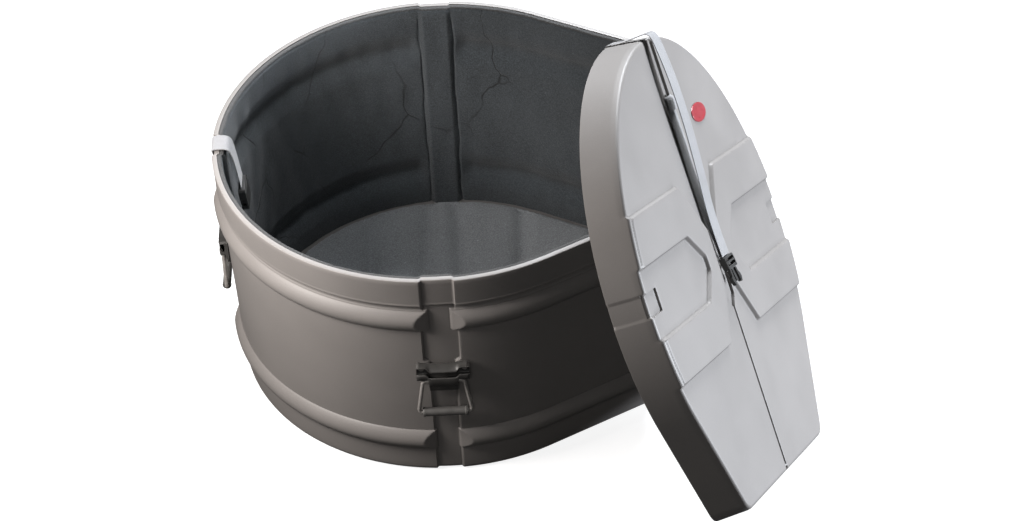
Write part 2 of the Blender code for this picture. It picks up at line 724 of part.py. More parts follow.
def lid_strap(frame, webbing, plastic):
    """The free length of the lid strap, its doubled tail and the buckle half, hinged at the crest."""
    swing = empty("lid_strap_axis", Matrix.Translation((STRAP_CREST[0], 0, STRAP_CREST[1])), frame)
    start = (STRAP_CREST[0] + 0.0018, STRAP_CREST[1] + 0.0015)
    bm = bmesh.new()
    add_ribbon(bm, from_hinge([start] + STRAP_PATH, STRAP_CREST), WEB_WIDTH, WEB)
    finish(bm, "lid_strap_web", webbing, swing)
    bm = bmesh.new()
    add_ribbon(bm, from_hinge(TAIL_PATH, STRAP_CREST), WEB_WIDTH, WEB)
    finish(bm, "lid_strap_tail", webbing, swing)
    end = from_hinge([STRAP_PATH[-1]], STRAP_CREST)[0]
    place = Matrix.Translation((end[0] + 0.0020, 0, end[1] - 0.001))
    buckle = empty("buckle_male_frame", place @ Matrix.Rotation(-BUCKLE_TILT, 4, "Y"), swing)
    male_buckle(buckle, plastic)


# ---------------------------------------------------------------- short strap on the tub's round end

SHORT_ANCHOR_Z = 0.300
SHORT_CREST = (-0.3800, TUB_HEIGHT + 0.0025)
SHORT_PATH = [(-0.3720, TUB_HEIGHT + 0.0040), (-0.3560, TUB_HEIGHT + 0.0040),
              (-0.3475, TUB_HEIGHT - 0.0020), (-0.3420, TUB_HEIGHT - 0.040), (-0.3370, TUB_HEIGHT - 0.085)]


def short_strap(shell, webbing, plastic, metal):
    """Webbing riveted in the end channel, thrown over the rim, with the receiving buckle half."""
    step_z = TUB_HEIGHT - RIM_ZONE

    def wall_x(z):
        step = GROOVE if z < step_z - 0.004 else 0.0
        return -(ROUND_RADIUS + draft(z) - step - CHANNEL_DEPTH)

    off = WEB / 2 + 0.0005
    heights = (0.284, step_z - 0.018, step_z - 0.003, TUB_HEIGHT - 0.004)
    path = [(wall_x(z) - off, z) for z in heights] + [(SHORT_CREST[0] + 0.0012, TUB_HEIGHT + 0.0003)]
    bm = bmesh.new()
    add_ribbon(bm, path, WEB_WIDTH, WEB)
    strap = finish(bm, "short_strap_anchor_end", webbing)
    place = wall_x(SHORT_ANCHOR_Z) - off - WEB / 2
    tilt = -math.atan(TUB_DRAFT / TUB_HEIGHT)
    held = empty("short_strap_anchor_frame", facing_round_end(place, SHORT_ANCHOR_Z, tilt))
    strap_anchor("short_strap", held, metal, (strap, shell), 0.0080)

    swing = empty("short_strap_axis", Matrix.Translation((SHORT_CREST[0], 0, SHORT_CREST[1])))
    bm = bmesh.new()
    start = (SHORT_CREST[0] + 0.0012, SHORT_CREST[1] + 0.0012)
    add_ribbon(bm, from_hinge([start] + SHORT_PATH, SHORT_CREST), WEB_WIDTH, WEB)
    finish(bm, "short_strap_web", webbing, swing)
    back, end = [Vector(point) for point in from_hinge(SHORT_PATH[-2:], SHORT_CREST)]
    tilt = math.atan2(back.y - end.y, end.x - back.x)
    socket = empty("buckle_female_frame", Matrix.Translation((end.x, 0, end.y))
                 @ Matrix.Rotation(tilt, 4, "Y") @ Matrix.Translation((0.0008, 0, 0)), swing)
    female_buckle(socket, plastic)


def female_buckle(frame, plastic):
    """Hollow socket with side windows for the prongs. Frame: x towards its mouth."""
    length, width, thick = SOCKET_LENGTH, SOCKET_WIDTH, SOCKET_THICK
    bm = bmesh.new()
    points = round_corners(box_points(length / 2, width / 2), 0.006, 3)
    add_prism(bm, [(x + length / 2, y) for x, y in points], -thick / 2, thick / 2)
    body = finish(bm, "buckle_female_body", plastic, frame)
    bm = bmesh.new()
    add_prism(bm, [(x + length / 2 + 0.014, y) for x, y in box_points(length / 2, width / 2 - 0.004)],
              -thick / 2 + 0.002, thick / 2 - 0.002)
    for side in (-1, 1):
        add_prism(bm, [(x + 0.026, y + side * width / 2) for x, y in box_points(0.008, 0.009)],
                  -thick / 2 + 0.0025, thick / 2 - 0.0025)
    boolean(body, cutter(bm, "cut_socket", frame), "DIFFERENCE")
    bm = bmesh.new()
    web_slot = box_points(WEB_SLOT / 2, WEB_WIDTH / 2 + 0.001)
    add_prism(bm, [(x + 0.0072, y) for x, y in web_slot], -thick, thick)
    boolean(body, cutter(bm, "cut_web_slot", frame), "DIFFERENCE")


# ---------------------------------------------------------------- assembly

def main():
    clear_scene()
    plastic = material("shell_plastic", (0.150, 0.140, 0.130), 0.55)
    fabric = material("lining_fabric", (0.060, 0.065, 0.072), 0.95)
    pad_fabric = material("pad_fabric", (0.090, 0.092, 0.098), 0.95)
    hardware = material("hardware_plastic", (0.018, 0.018, 0.017), 0.45)
    steel = material("hardware_steel", (0.30, 0.29, 0.27), 0.35, 1.0)
    rubber = material("grip_rubber", (0.09, 0.085, 0.08), 0.6)
    webbing = material("strap_webbing", (0.55, 0.55, 0.57), 0.8)
    enamel = material("badge_red", (0.62, 0.03, 0.05), 0.35)

    shell = body_shell(plastic)
    body_wall_lining(fabric)
    body_floor_pad(pad_fabric)
    for side, angle in SIDES.items():
        handle(side, angle, shell, hardware, steel, rubber)
    short_strap(shell, webbing, hardware, steel)

    lid = empty("lid_frame", lid_matrix())
    top = lid_shell(lid, plastic)
    lid_face_pad(lid, fabric)
    lid_badge(lid, enamel)
    lid_strap_anchor(lid, top, webbing, steel)
    lid_strap(lid, webbing, hardware)
    bpy.context.view_layer.update()


main()
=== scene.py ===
"""The looks of the padded D-shaped drum case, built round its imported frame.

Metres, +Z up. The tub's walls, its lining and the lid's skirt are rings of the same D outline, pushed in
or out by a function of height and of the distance along the D. The lid's face is a flat sheet whose height
is a function of its raised panels, pockets, notches and strap channel. Lid pieces are made in the lid's own
frame: x from its round end to its foot, y across, z out of its face, z = 0 at its open rim.
"""
import json
import math

import bmesh
import bpy
import numpy as np
from mathutils import Matrix, Vector
from mathutils.geometry import delaunay_2d_cdt

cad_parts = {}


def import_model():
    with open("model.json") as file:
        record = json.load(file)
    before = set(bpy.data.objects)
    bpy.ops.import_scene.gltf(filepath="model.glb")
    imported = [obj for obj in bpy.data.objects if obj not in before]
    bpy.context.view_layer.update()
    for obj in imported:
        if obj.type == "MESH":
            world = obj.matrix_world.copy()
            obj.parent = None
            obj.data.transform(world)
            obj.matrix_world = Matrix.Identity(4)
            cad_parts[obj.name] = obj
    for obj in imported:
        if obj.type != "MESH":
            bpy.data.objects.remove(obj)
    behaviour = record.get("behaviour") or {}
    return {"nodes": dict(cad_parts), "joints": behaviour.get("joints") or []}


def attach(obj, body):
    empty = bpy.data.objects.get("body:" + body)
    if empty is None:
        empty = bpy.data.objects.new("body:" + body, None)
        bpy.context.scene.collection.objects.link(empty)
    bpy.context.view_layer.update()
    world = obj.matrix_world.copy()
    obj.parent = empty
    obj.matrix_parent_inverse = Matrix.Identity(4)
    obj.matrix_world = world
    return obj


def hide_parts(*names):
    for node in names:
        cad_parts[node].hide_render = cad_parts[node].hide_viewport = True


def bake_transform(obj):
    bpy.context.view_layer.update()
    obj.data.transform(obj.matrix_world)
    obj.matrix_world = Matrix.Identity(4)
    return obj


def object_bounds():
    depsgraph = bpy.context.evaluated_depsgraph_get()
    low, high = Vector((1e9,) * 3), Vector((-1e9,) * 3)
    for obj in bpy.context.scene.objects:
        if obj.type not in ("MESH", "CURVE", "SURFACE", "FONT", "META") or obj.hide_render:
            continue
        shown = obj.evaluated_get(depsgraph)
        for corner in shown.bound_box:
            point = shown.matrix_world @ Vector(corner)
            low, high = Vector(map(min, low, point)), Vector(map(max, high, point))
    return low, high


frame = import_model()
CAD_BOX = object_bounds()
JOINTS = {joint["name"]: joint for joint in frame["joints"]}

# The D outline
ROUND_RADIUS = 0.380
FLAT_DISTANCE = 0.365
CORNER_HALF_WIDTH = 0.2326
CORNER_RADIUS = 0.030
TANGENT = math.atan2(CORNER_HALF_WIDTH, FLAT_DISTANCE) + math.acos(
    ROUND_RADIUS / math.hypot(FLAT_DISTANCE, CORNER_HALF_WIDTH))
CORNER_CUT = CORNER_RADIUS * math.tan(TANGENT / 2)
ARC_LENGTH = ROUND_RADIUS * (math.pi - TANGENT)
SIDE_LENGTH = math.sqrt(FLAT_DISTANCE ** 2 + CORNER_HALF_WIDTH ** 2 - ROUND_RADIUS ** 2) - CORNER_CUT
CORNER_LENGTH = CORNER_RADIUS * TANGENT
FLAT_HALF = CORNER_HALF_WIDTH - CORNER_CUT
HALF_LENGTH = ARC_LENGTH + SIDE_LENGTH + CORNER_LENGTH + FLAT_HALF

# Tub
TUB_HEIGHT = 0.444
TUB_DRAFT = 0.0148
WALL = 0.0045
RIM_LOW = TUB_HEIGHT - 0.055      # lower edge of the smooth band under the rim
GROOVE = 0.003
RIB_BULGE = 0.012
RIB_TOPS = (0.376, 0.100)
RIB_HEIGHT = 0.044
FACET_SLOPE = 0.55                # the ribs run out towards a channel in flat slopes
CHANNELS = (0.0, ROUND_RADIUS * math.pi / 2, HALF_LENGTH)
CHANNEL_DEPTH = 0.0045
CHANNEL_END = 0.258               # the wide upper part of a channel ends here in a chamfer
BASE_RADIUS = 0.012
FLOOR = 0.006
GAP = 0.0006
LINING = 0.009

# Lid
LID_DEPTH = 0.063
LID_OUTER = 0.0055                # the skirt's outer side at the open rim, outside the D
LID_WALL = 0.004
LID_FACE = 0.006
LID_DRAFT = 0.0065
EDGE_RADIUS = 0.006
PANEL_RISE = 0.0070
PANEL_SLOPE = 0.0048              # width of the sloped sides of panels and pockets
NOTCH_SINK = 0.0036
NOTCH_SLOPE = 0.0010
STRAP_SINK = 0.0048               # depth of the strap's channel in the face
STRAP_SLOPE = 0.0016
SKIRT_SINK = 0.0018
PANEL = [(-0.145, 0.100), (-0.057, 0.026), (0.040, 0.026), (0.124, 0.088), (0.124, 0.42), (-0.145, 0.42)]
POCKET = [(-0.067, 0.45), (-0.067, 0.129), (-0.022, 0.072), (0.001, 0.072), (0.045, 0.122), (0.045, 0.45)]
NOTCH = [(-0.030, 0.325), (0.007, 0.325), (0.007, 0.45), (-0.030, 0.45)]
STRAP_CHANNEL = [(-0.45, -0.021), (0.060, -0.021), (0.080, -0.0028), (0.45, -0.0028),
                 (0.45, 0.0028), (0.080, 0.0028), (0.060, 0.021), (-0.45, 0.021)]

# Webbing and handles
WEB_WIDTH = 0.038
WEB = 0.0016
STRAP_CREST = (-0.3905, 0.0680)
STRAP_PATH = [(-0.3860, 0.0692), (-0.3822, 0.0740), (-0.3740, 0.0768), (-0.3600, 0.0788), (-0.3300, 0.0818),
              (-0.2900, 0.0840), (-0.2400, 0.0840), (-0.1950, 0.0820), (-0.1420, 0.0785), (-0.0900, 0.0750),
              (-0.0500, 0.0745), (-0.0060, 0.0760)]
TAIL_PATH = [(-0.2550, 0.0682), (-0.2720, 0.0690), (-0.2770, 0.0668), (-0.2740, 0.0640), (-0.2200, 0.0655),
             (-0.1500, 0.0650), (-0.0900, 0.0668), (-0.0500, 0.0700), (-0.0060, 0.0722)]
BAIL_RADIUS = 0.0032
BAIL_TOP = 0.068
BAIL_BOTTOM = 0.090
BAIL_DROP = 0.070
GRIP_RADIUS = 0.0082
PLATE_FRONT = -0.0063
PLATE_BACK = -0.0103

HANDLES = {"front": "bail_front", "back": "bail_back", "end": "bail_end"}
RANDOM = np.random.default_rng(7)


# ---------- small helpers

def smooth(share):
    share = np.clip(share, 0.0, 1.0)
    return share * share * (3.0 - 2.0 * share)


def settle(piece, body, slot, *nodes):
    """Rides a piece on its body, in place of the named CAD nodes."""
    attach(piece, body)
    if nodes:
        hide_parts(*nodes)


def coordinates(mesh):
    return np.array([vertex.co for vertex in mesh.vertices])


def make_object(name, vertices, faces, material, sharp=35.0, matrix=None):
    """A mesh object whose faces point out."""
    mesh = bpy.data.meshes.new(name)
    mesh.from_pydata(np.asarray(vertices, float).tolist(), [], faces)
    bm = bmesh.new()
    bm.from_mesh(mesh)
    bmesh.ops.remove_doubles(bm, verts=bm.verts, dist=1e-6)
    bmesh.ops.recalc_face_normals(bm, faces=bm.faces)
    if bm.calc_volume(signed=True) < 0:
        bmesh.ops.reverse_faces(bm, faces=bm.faces)
    bm.to_mesh(mesh)
    bm.free()
    if matrix is not None:
        mesh.transform(matrix)
    mesh.shade_smooth()
    mesh.set_sharp_from_angle(angle=math.radians(sharp))
    mesh.materials.append(material)
    made = bpy.data.objects.new(name, mesh)
    bpy.context.scene.collection.objects.link(made)
    return made


def ring_faces(rings, count, start=0, closed=False):
    """Quads between consecutive rings of count points."""
    low = np.arange(rings if closed else rings - 1)[:, None] * count
    high = (low + count) % (rings * count)
    here = np.arange(count)[None, :]
    ahead = (here + 1) % count
    quads = np.stack([low + here, low + ahead, high + ahead, high + here], axis=-1).reshape(-1, 4)
    return (quads + start).tolist()


def loft(name, rings, material, hollow=False, sharp=35.0, matrix=None):
    """A closed body through an array of rings (levels, points, 3). Unless hollow, its two ends are closed by
    rings that shrink to a point."""
    rings = [np.asarray(ring, float) for ring in rings]
    if not hollow:
        shares = (0.85, 0.65, 0.45, 0.25, 0.1)
        first, last = rings[0].mean(axis=0), rings[-1].mean(axis=0)
        rings = ([first + (rings[0] - first) * share for share in reversed(shares)] + rings
                 + [last + (rings[-1] - last) * share for share in shares])
    count = len(rings[0])
    vertices = np.concatenate(rings)
    faces = ring_faces(len(rings), count, closed=hollow)
    if not hollow:
        vertices = np.concatenate([vertices, [first, last]])
        total = len(rings) * count
        here = np.arange(count)
        ahead = (here + 1) % count
        faces += np.stack([ahead, here, np.full(count, total)], axis=-1).tolist()
        top = total - count
        faces += np.stack([top + here, top + ahead, np.full(count, total + 1)], axis=-1).tolist()
    return make_object(name, vertices, faces, material, sharp, matrix)


def spline(points, spacing):
    """A smooth curve through (x, z) points, sampled about every spacing."""
    points = [Vector(p) for p in points]
    padded = [2 * points[0] - points[1]] + points + [2 * points[-1] - points[-2]]
    curve = []
    for before, start, end, after in zip(padded, padded[1:], padded[2:], padded[3:]):
        steps = max(2, round((end - start).length / spacing))
        for k in range(steps):
            t = k / steps
            bend = 2 * before - 5 * start + 4 * end - after
            twist = 3 * start - before - 3 * end + after
            curve.append(0.5 * (2 * start + (end - before) * t + bend * t ** 2 + twist * t ** 3))
    curve.append(points[-1])
    return curve


def rounded(points, radius, steps=4):
    """Closed polygon with its corners replaced by arcs."""
    made = []
    count = len(points)
    for i in range(count):
        here = Vector(points[i])
        back = (Vector(points[i - 1]) - here).normalized()
        ahead = (Vector(points[(i + 1) % count]) - here).normalized()
        half = back.angle(ahead) / 2
        reach = radius / math.tan(half)
        centre = here + (back + ahead).normalized() * radius / math.sin(half)
        start = here + back * reach - centre
        sweep = start.angle_signed(here + ahead * reach - centre)
        for k in range(steps + 1):
            spoke = start.copy()
            spoke.rotate(Matrix.Rotation(-sweep * k / steps, 2))
            made.append(tuple(centre + spoke))
    return made


# ---------- materials

def new_material(name):
    made = bpy.data.materials.new(name)
    made.use_nodes = True
    return made, made.node_tree, made.node_tree.nodes["Principled BSDF"]


def add_node(tree, kind, inputs=None, **settings):
    made = tree.nodes.new(kind)
    for key, value in settings.items():
        setattr(made, key, value)
    for key, value in (inputs or {}).items():
        if isinstance(value, bpy.types.NodeSocket):
            tree.links.new(value, made.inputs[key])
        else:
            made.inputs[key].default_value = value
    return made


def metres(tree):
    return add_node(tree, "ShaderNodeTexCoord").outputs["Object"]


def noise(tree, place, scale, detail=4.0, roughness=0.55):
    made = add_node(tree, "ShaderNodeTexNoise",
                    {"Vector": place, "Scale": scale, "Detail": detail, "Roughness": roughness})
    return made.outputs["Fac"]


def span(tree, value, low, high, from_low=0.3, from_high=0.7):
    """Maps a texture value from one range to another."""
    return add_node(tree, "ShaderNodeMapRange",
                    {"Value": value, "From Min": from_low, "From Max": from_high,
                     "To Min": low, "To Max": high}).outputs["Result"]


def blend_colours(tree, share, first, second, mode="MIX"):
    made = add_node(tree, "ShaderNodeMix", data_type="RGBA", blend_type=mode)
    for socket, value in ((made.inputs[0], share), (made.inputs[6], first), (made.inputs[7], second)):
        if isinstance(value, bpy.types.NodeSocket):
            tree.links.new(value, socket)
        else:
            socket.default_value = value
    return made.outputs[2]


def add_bumps(tree, shader, layers):
    """layers: (height, strength, distance in metres), coarse first."""
    normal = None
    for height, strength, distance in layers:
        made = add_node(tree, "ShaderNodeBump",
                        {"Height": height, "Strength": strength, "Distance": distance})
        if normal is not None:
            tree.links.new(normal, made.inputs["Normal"])
        normal = made.outputs["Normal"]
    tree.links.new(normal, shader.inputs["Normal"])


def grey(value, tint=(1.0, 1.0, 1.0)):
    return (value * tint[0], value * tint[1], value * tint[2], 1.0)


def stretched(tree, place, scale):
    return add_node(tree, "ShaderNodeMapping", {"Vector": place, "Scale": scale}).outputs["Vector"]


def calculate(tree, operation, *values):
    return add_node(tree, "ShaderNodeMath", dict(enumerate(values)), operation=operation).outputs[0]


PLASTIC_TINT = (1.0, 0.945, 0.905)


def plastic_material():
    """Moulded polyethylene with a fine pebble, slight flow marks, scuffs, paler edges and painted shade in
    its hollows.
    """
    made, tree, shader = new_material("shell_plastic")
    place = metres(tree)
    cloudy = noise(tree, place, 5.0, 5.0, 0.6)
    fine = noise(tree, place, 900.0, 2.0)
    pebble = add_node(tree, "ShaderNodeTexVoronoi", {"Vector": place, "Scale": 520.0}).outputs["Distance"]
    colour = blend_colours(tree, span(tree, cloudy, 0.0, 1.0), grey(0.150, PLASTIC_TINT),
                           grey(0.172, PLASTIC_TINT))
    colour = blend_colours(tree, span(tree, fine, 0.0, 0.30), colour, grey(0.205, PLASTIC_TINT))
    edges = add_node(tree, "ShaderNodeNewGeometry").outputs["Pointiness"]
    colour = blend_colours(tree, span(tree, edges, 0.0, 0.20, 0.515, 0.60), colour, grey(0.25, PLASTIC_TINT))
    # painted shade: darker where pointiness is low, in hollows, creases and recesses
    colour = blend_colours(tree, span(tree, edges, 0.85, 0.0, 0.42, 0.492), colour, grey(0.035, PLASTIC_TINT))
    scuffs = noise(tree, stretched(tree, place, (9.0, 9.0, 60.0)), 2.2, 8.0, 0.75)
    colour = blend_colours(tree, span(tree, scuffs, 0.0, 0.35, 0.62, 0.75), colour, grey(0.235, PLASTIC_TINT))
    tree.links.new(colour, shader.inputs["Base Color"])
    tree.links.new(span(tree, cloudy, 0.50, 0.60), shader.inputs["Roughness"])
    shader.inputs["Specular IOR Level"].default_value = 0.55
    add_bumps(tree, shader, [(cloudy, 0.10, 0.002), (pebble, 0.16, 0.0004), (fine, 0.22, 0.0003)])
    return made


def fold_lines(tree, place):
    """Thin wandering lines, 1 on a line, that come and go in patches."""
    wander = add_node(tree, "ShaderNodeTexNoise", {"Vector": place, "Scale": 7.0, "Detail": 3.0})
    bent = add_node(tree, "ShaderNodeVectorMath",
                    {0: wander.outputs["Color"], 1: (0.12, 0.12, 0.12), 2: place}, operation="MULTIPLY_ADD")
    tall = stretched(tree, bent.outputs["Vector"], (6.5, 6.5, 3.2))
    cells = add_node(tree, "ShaderNodeTexVoronoi", {"Vector": tall, "Scale": 1.0},
                     feature="DISTANCE_TO_EDGE")
    line = span(tree, cells.outputs["Distance"], 1.0, 0.0, 0.002, 0.013)
    patchy = span(tree, noise(tree, place, 6.0, 2.0), 0.0, 1.0, 0.50, 0.58)
    return calculate(tree, "MULTIPLY", line, patchy)


def cloth_material(name, dark, light, tint, wrinkles_and_shade=False):
    """Brushed knit fabric bonded to foam: short fibres, a soft nap, lint and, if asked, fine wrinkles with
    painted shade along their creases.
    """
    made, tree, shader = new_material(name)
    place = metres(tree)
    broad = noise(tree, place, 9.0, 4.0, 0.6)
    knit = noise(tree, place, 420.0, 3.0, 0.7)
    fibres = noise(tree, place, 1500.0, 2.0, 0.6)
    colour = blend_colours(tree, span(tree, broad, 0.0, 1.0), grey(dark, tint), grey(light, tint))
    colour = blend_colours(tree, span(tree, knit, 0.0, 0.8, 0.40, 0.68), colour, grey(light * 1.9, tint))
    lint = noise(tree, place, 240.0, 1.0, 0.5)
    colour = blend_colours(tree, span(tree, lint, 0.0, 0.55, 0.72, 0.80), colour, grey(light * 3.0, tint))
    layers = [(broad, 0.5, 0.006), (knit, 0.8, 0.0016), (fibres, 0.5, 0.0006)]
    if wrinkles_and_shade:
        fold_and_shade = fold_lines(tree, place)
        # painted shade: darker along the fold lines, in the creases
        colour = blend_colours(tree, fold_and_shade, colour, grey(dark * 0.45, tint))
        layers.insert(1, (calculate(tree, "SUBTRACT", 1.0, fold_and_shade), 0.5, 0.0016))
    tree.links.new(colour, shader.inputs["Base Color"])
    shader.inputs["Roughness"].default_value = 0.95
    shader.inputs["Specular IOR Level"].default_value = 0.2
    shader.inputs["Sheen Weight"].default_value = 0.12
    shader.inputs["Sheen Roughness"].default_value = 0.6
    add_bumps(tree, shader, layers)
    return made


def webbing_material():
    """Woven webbing, read from the strap's UV map: U across in widths, V along it in metres."""
    made, tree, shader = new_material("strap_webbing")
    uv = add_node(tree, "ShaderNodeUVMap", uv_map="weave").outputs["UV"]
    parts = add_node(tree, "ShaderNodeSeparateXYZ", {"Vector": uv})
    across, along = parts.outputs["X"], parts.outputs["Y"]

    def wave(value, cycles):
        return calculate(tree, "SINE", calculate(tree, "MULTIPLY", value, cycles * 2 * math.pi))

    ribs = wave(across, 11.0)
    picks = wave(along, 420.0)
    weave = calculate(tree, "MULTIPLY", ribs, picks)
    thread = noise(tree, metres(tree), 700.0, 3.0)
    soiled = noise(tree, metres(tree), 16.0, 5.0, 0.65)
    colour = blend_colours(tree, span(tree, weave, 0.0, 1.0, -1.0, 1.0), grey(0.145, (0.985, 0.985, 1.02)),
                           grey(0.215, (0.985, 0.985, 1.02)))
    colour = blend_colours(tree, span(tree, soiled, 0.0, 0.40, 0.45, 0.75), colour, grey(0.12))
    tree.links.new(colour, shader.inputs["Base Color"])
    shader.inputs["Roughness"].default_value = 0.72
    shader.inputs["Sheen Weight"].default_value = 0.25
    add_bumps(tree, shader, [(ribs, 0.25, 0.0005), (weave, 0.45, 0.0004), (thread, 0.35, 0.0003)])
    return made


def hardware_material(name, value, roughness, tint=(1.0, 0.98, 0.94)):
    """Dark moulded plastic or rubber: fine grain, and a painted highlight that makes its edges paler."""
    made, tree, shader = new_material(name)
    place = metres(tree)
    grain = noise(tree, place, 1600.0, 3.0)
    worn = noise(tree, place, 55.0, 6.0, 0.7)
    edges = add_node(tree, "ShaderNodeBevel", {"Radius": 0.0012}, samples=4).outputs["Normal"]
    true_normal = add_node(tree, "ShaderNodeNewGeometry").outputs["Normal"]
    facing = add_node(tree, "ShaderNodeVectorMath", {0: edges, 1: true_normal}, operation="DOT_PRODUCT")
    # painted highlight: paler colour along the edges, where the bevelled normal turns away from the true one
    edge_highlight = span(tree, facing.outputs["Value"], 0.8, 0.0, 0.80, 0.99)
    colour = blend_colours(tree, span(tree, worn, 0.0, 1.0), grey(value, tint), grey(value * 1.5, tint))
    colour = blend_colours(tree, edge_highlight, colour, grey(value * 4.5 + 0.05, tint))
    tree.links.new(colour, shader.inputs["Base Color"])
    tree.links.new(span(tree, worn, roughness - 0.08, roughness + 0.08), shader.inputs["Roughness"])
    add_bumps(tree, shader, [(worn, 0.15, 0.0004), (grain, 0.25, 0.0002)])
    return made


def steel_material():
    """Zinc-plated wire gone dull, with darker stains."""
    made, tree, shader = new_material("hardware_steel")
    place = metres(tree)
    stains = noise(tree, place, 90.0, 6.0, 0.7)
    drawn = noise(tree, place, 1400.0, 2.0)
    colour = blend_colours(tree, span(tree, stains, 0.0, 1.0), grey(0.44, (1.0, 0.96, 0.92)),
                           grey(0.26, (1.0, 0.95, 0.90)))
    tree.links.new(colour, shader.inputs["Base Color"])
    shader.inputs["Metallic"].default_value = 0.45
    tree.links.new(span(tree, stains, 0.36, 0.52), shader.inputs["Roughness"])
    add_bumps(tree, shader, [(stains, 0.15, 0.0004), (drawn, 0.2, 0.0002)])
    return made


def badge_material():
    """Red enamel: clear-coated, faint speckle."""
    made, tree, shader = new_material("badge_red")
    place = metres(tree)
    speckle = noise(tree, place, 1800.0, 2.0)
    cloudy = noise(tree, place, 60.0, 4.0)
    colour = blend_colours(tree, span(tree, speckle, 0.0, 0.35), (0.26, 0.026, 0.034, 1.0),
                           (0.31, 0.045, 0.055, 1.0))
    tree.links.new(colour, shader.inputs["Base Color"])
    tree.links.new(span(tree, cloudy, 0.30, 0.42), shader.inputs["Roughness"])
    shader.inputs["Coat Weight"].default_value = 0.5
    shader.inputs["Coat Roughness"].default_value = 0.15
    add_bumps(tree, shader, [(cloudy, 0.12, 0.0004), (speckle, 0.1, 0.0001)])
    return made


PLASTIC = plastic_material()
LINING_CLOTH = cloth_material("lining_fabric", 0.022, 0.034, (0.86, 1.0, 1.11), wrinkles_and_shade=True)
PAD_CLOTH = cloth_material("pad_fabric", 0.092, 0.122, (0.95, 1.0, 1.04))
FOAM_EDGE = cloth_material("lining_foam", 0.022, 0.036, (0.98, 1.0, 1.02))
WEBBING = webbing_material()
HARDWARE = hardware_material("hardware_plastic", 0.014, 0.42)
BRACKET_PLASTIC = hardware_material("bracket_plastic", 0.034, 0.42)
RUBBER = hardware_material("grip_rubber", 0.058, 0.55)
STEEL = steel_material()
ENAMEL = badge_material()


# ---------- the D outline

def outline(distance):
    """Points and outward normals at signed distances along the D from the middle of its round end."""
    distance = np.asarray(distance, float)
    side = np.where(distance < 0, -1.0, 1.0)
    left = np.abs(distance)
    parts = [left <= ARC_LENGTH, left <= ARC_LENGTH + SIDE_LENGTH, left <= HALF_LENGTH - FLAT_HALF]
    past_arc = left - ARC_LENGTH
    angle = np.select(parts, [math.pi - left / ROUND_RADIUS, TANGENT + 0 * left,
                              TANGENT - (past_arc - SIDE_LENGTH) / CORNER_RADIUS], 0.0)
    cos, sin = np.cos(angle), np.sin(angle)
    x = np.select(parts, [ROUND_RADIUS * cos, ROUND_RADIUS * cos + sin * past_arc,
                          FLAT_DISTANCE - CORNER_RADIUS + CORNER_RADIUS * cos], FLAT_DISTANCE)
    y = np.select(parts, [ROUND_RADIUS * sin, ROUND_RADIUS * sin - cos * past_arc,
                          FLAT_HALF + CORNER_RADIUS * sin], HALF_LENGTH - left)
    return np.stack([x, y * side], -1), np.stack([cos, sin * side], -1)


def channel_reach(distance):
    """Distance to the nearest channel's middle."""
    return np.min([np.abs(np.abs(distance) - centre) for centre in CHANNELS], axis=0)


def stations(fine, coarse, near=0.055):
    """Distances along the D, close together near the channels and corners."""
    half = [0.0]
    while half[-1] < HALF_LENGTH:
        here = half[-1]
        at_corner = abs(here - (ARC_LENGTH + SIDE_LENGTH + CORNER_LENGTH / 2)) < CORNER_LENGTH / 2 + 0.006
        close = channel_reach(np.array([here]))[0] < near
        half.append(here + (fine if close else coarse * (0.5 if at_corner else 1.0)))
    half = np.array(half[:-1])
    if HALF_LENGTH - half[-1] < fine / 2:
        half = half[:-1]
    return np.concatenate([half, [HALF_LENGTH], -half[:0:-1]])


def rings_of(distances, heights, offsets):
    """Rings of points (levels, stations, 3) at heights, pushed out of the D by offsets (levels, stations)."""
    points, normals = outline(distances)
    heights = np.asarray(heights, float)
    offsets = np.broadcast_to(offsets, (len(heights), len(distances)))
    flat = points[None] + normals[None] * offsets[..., None]
    up = np.broadcast_to(heights[:, None, None], flat.shape[:2] + (1,))
    return np.concatenate([flat, up], -1)


# ---------- tub

def draft(z):
    return -TUB_DRAFT * (1.0 - z / TUB_HEIGHT)


def rib_height(z, spread=0.0, power=0.8):
    """Bulge of the ribs at height z; spread widens them softly for the fabric inside."""
    bulge = np.zeros_like(z)
    for top in RIB_TOPS:
        place = (top + spread - z) / (RIB_HEIGHT + 2 * spread)
        inside = (place > 0) & (place < 1)
        bulge = np.where(inside, RIB_BULGE * np.sin(math.pi * np.clip(place, 0, 1)) ** power, bulge)
    return bulge


def channel_half_width(z):
    """Wide in the rim band, narrow between the ribs' ends, wide above the handle, medium below it."""
    half = np.full_like(z, 0.0225)
    half = np.where(z > CHANNEL_END, 0.0225 + 0.0085 * smooth((z - CHANNEL_END) / 0.009), half)
    half = np.where(z > RIB_TOPS[0] - RIB_HEIGHT, 0.019, half)
    half = np.where(z > RIB_TOPS[0] + 0.002, 0.027, half)
    return np.where((z < RIB_TOPS[1]) & (z > RIB_TOPS[1] - RIB_HEIGHT), 0.020, half)


def tub_outside(z, s):
    reach = channel_reach(s)
    rib = np.minimum(rib_height(z), np.clip((reach - 0.020) * FACET_SLOPE, 0.0, None))
    below_band = smooth((RIM_LOW - z) / 0.0015)
    lip = 0.0007 * np.exp(-((z - RIM_LOW - 0.0022) / 0.0016) ** 2)
    hollow = 0.0022 * np.exp(-((z - (RIM_LOW + RIB_TOPS[0]) / 2) / 0.0045) ** 4)
    channel = CHANNEL_DEPTH * smooth((channel_half_width(z) - reach) / 0.0030 + 0.5)
    outside_channel = smooth((reach - 0.020) / 0.008)
    return draft(z) - GROOVE * below_band + lip - hollow * outside_channel + rib - channel


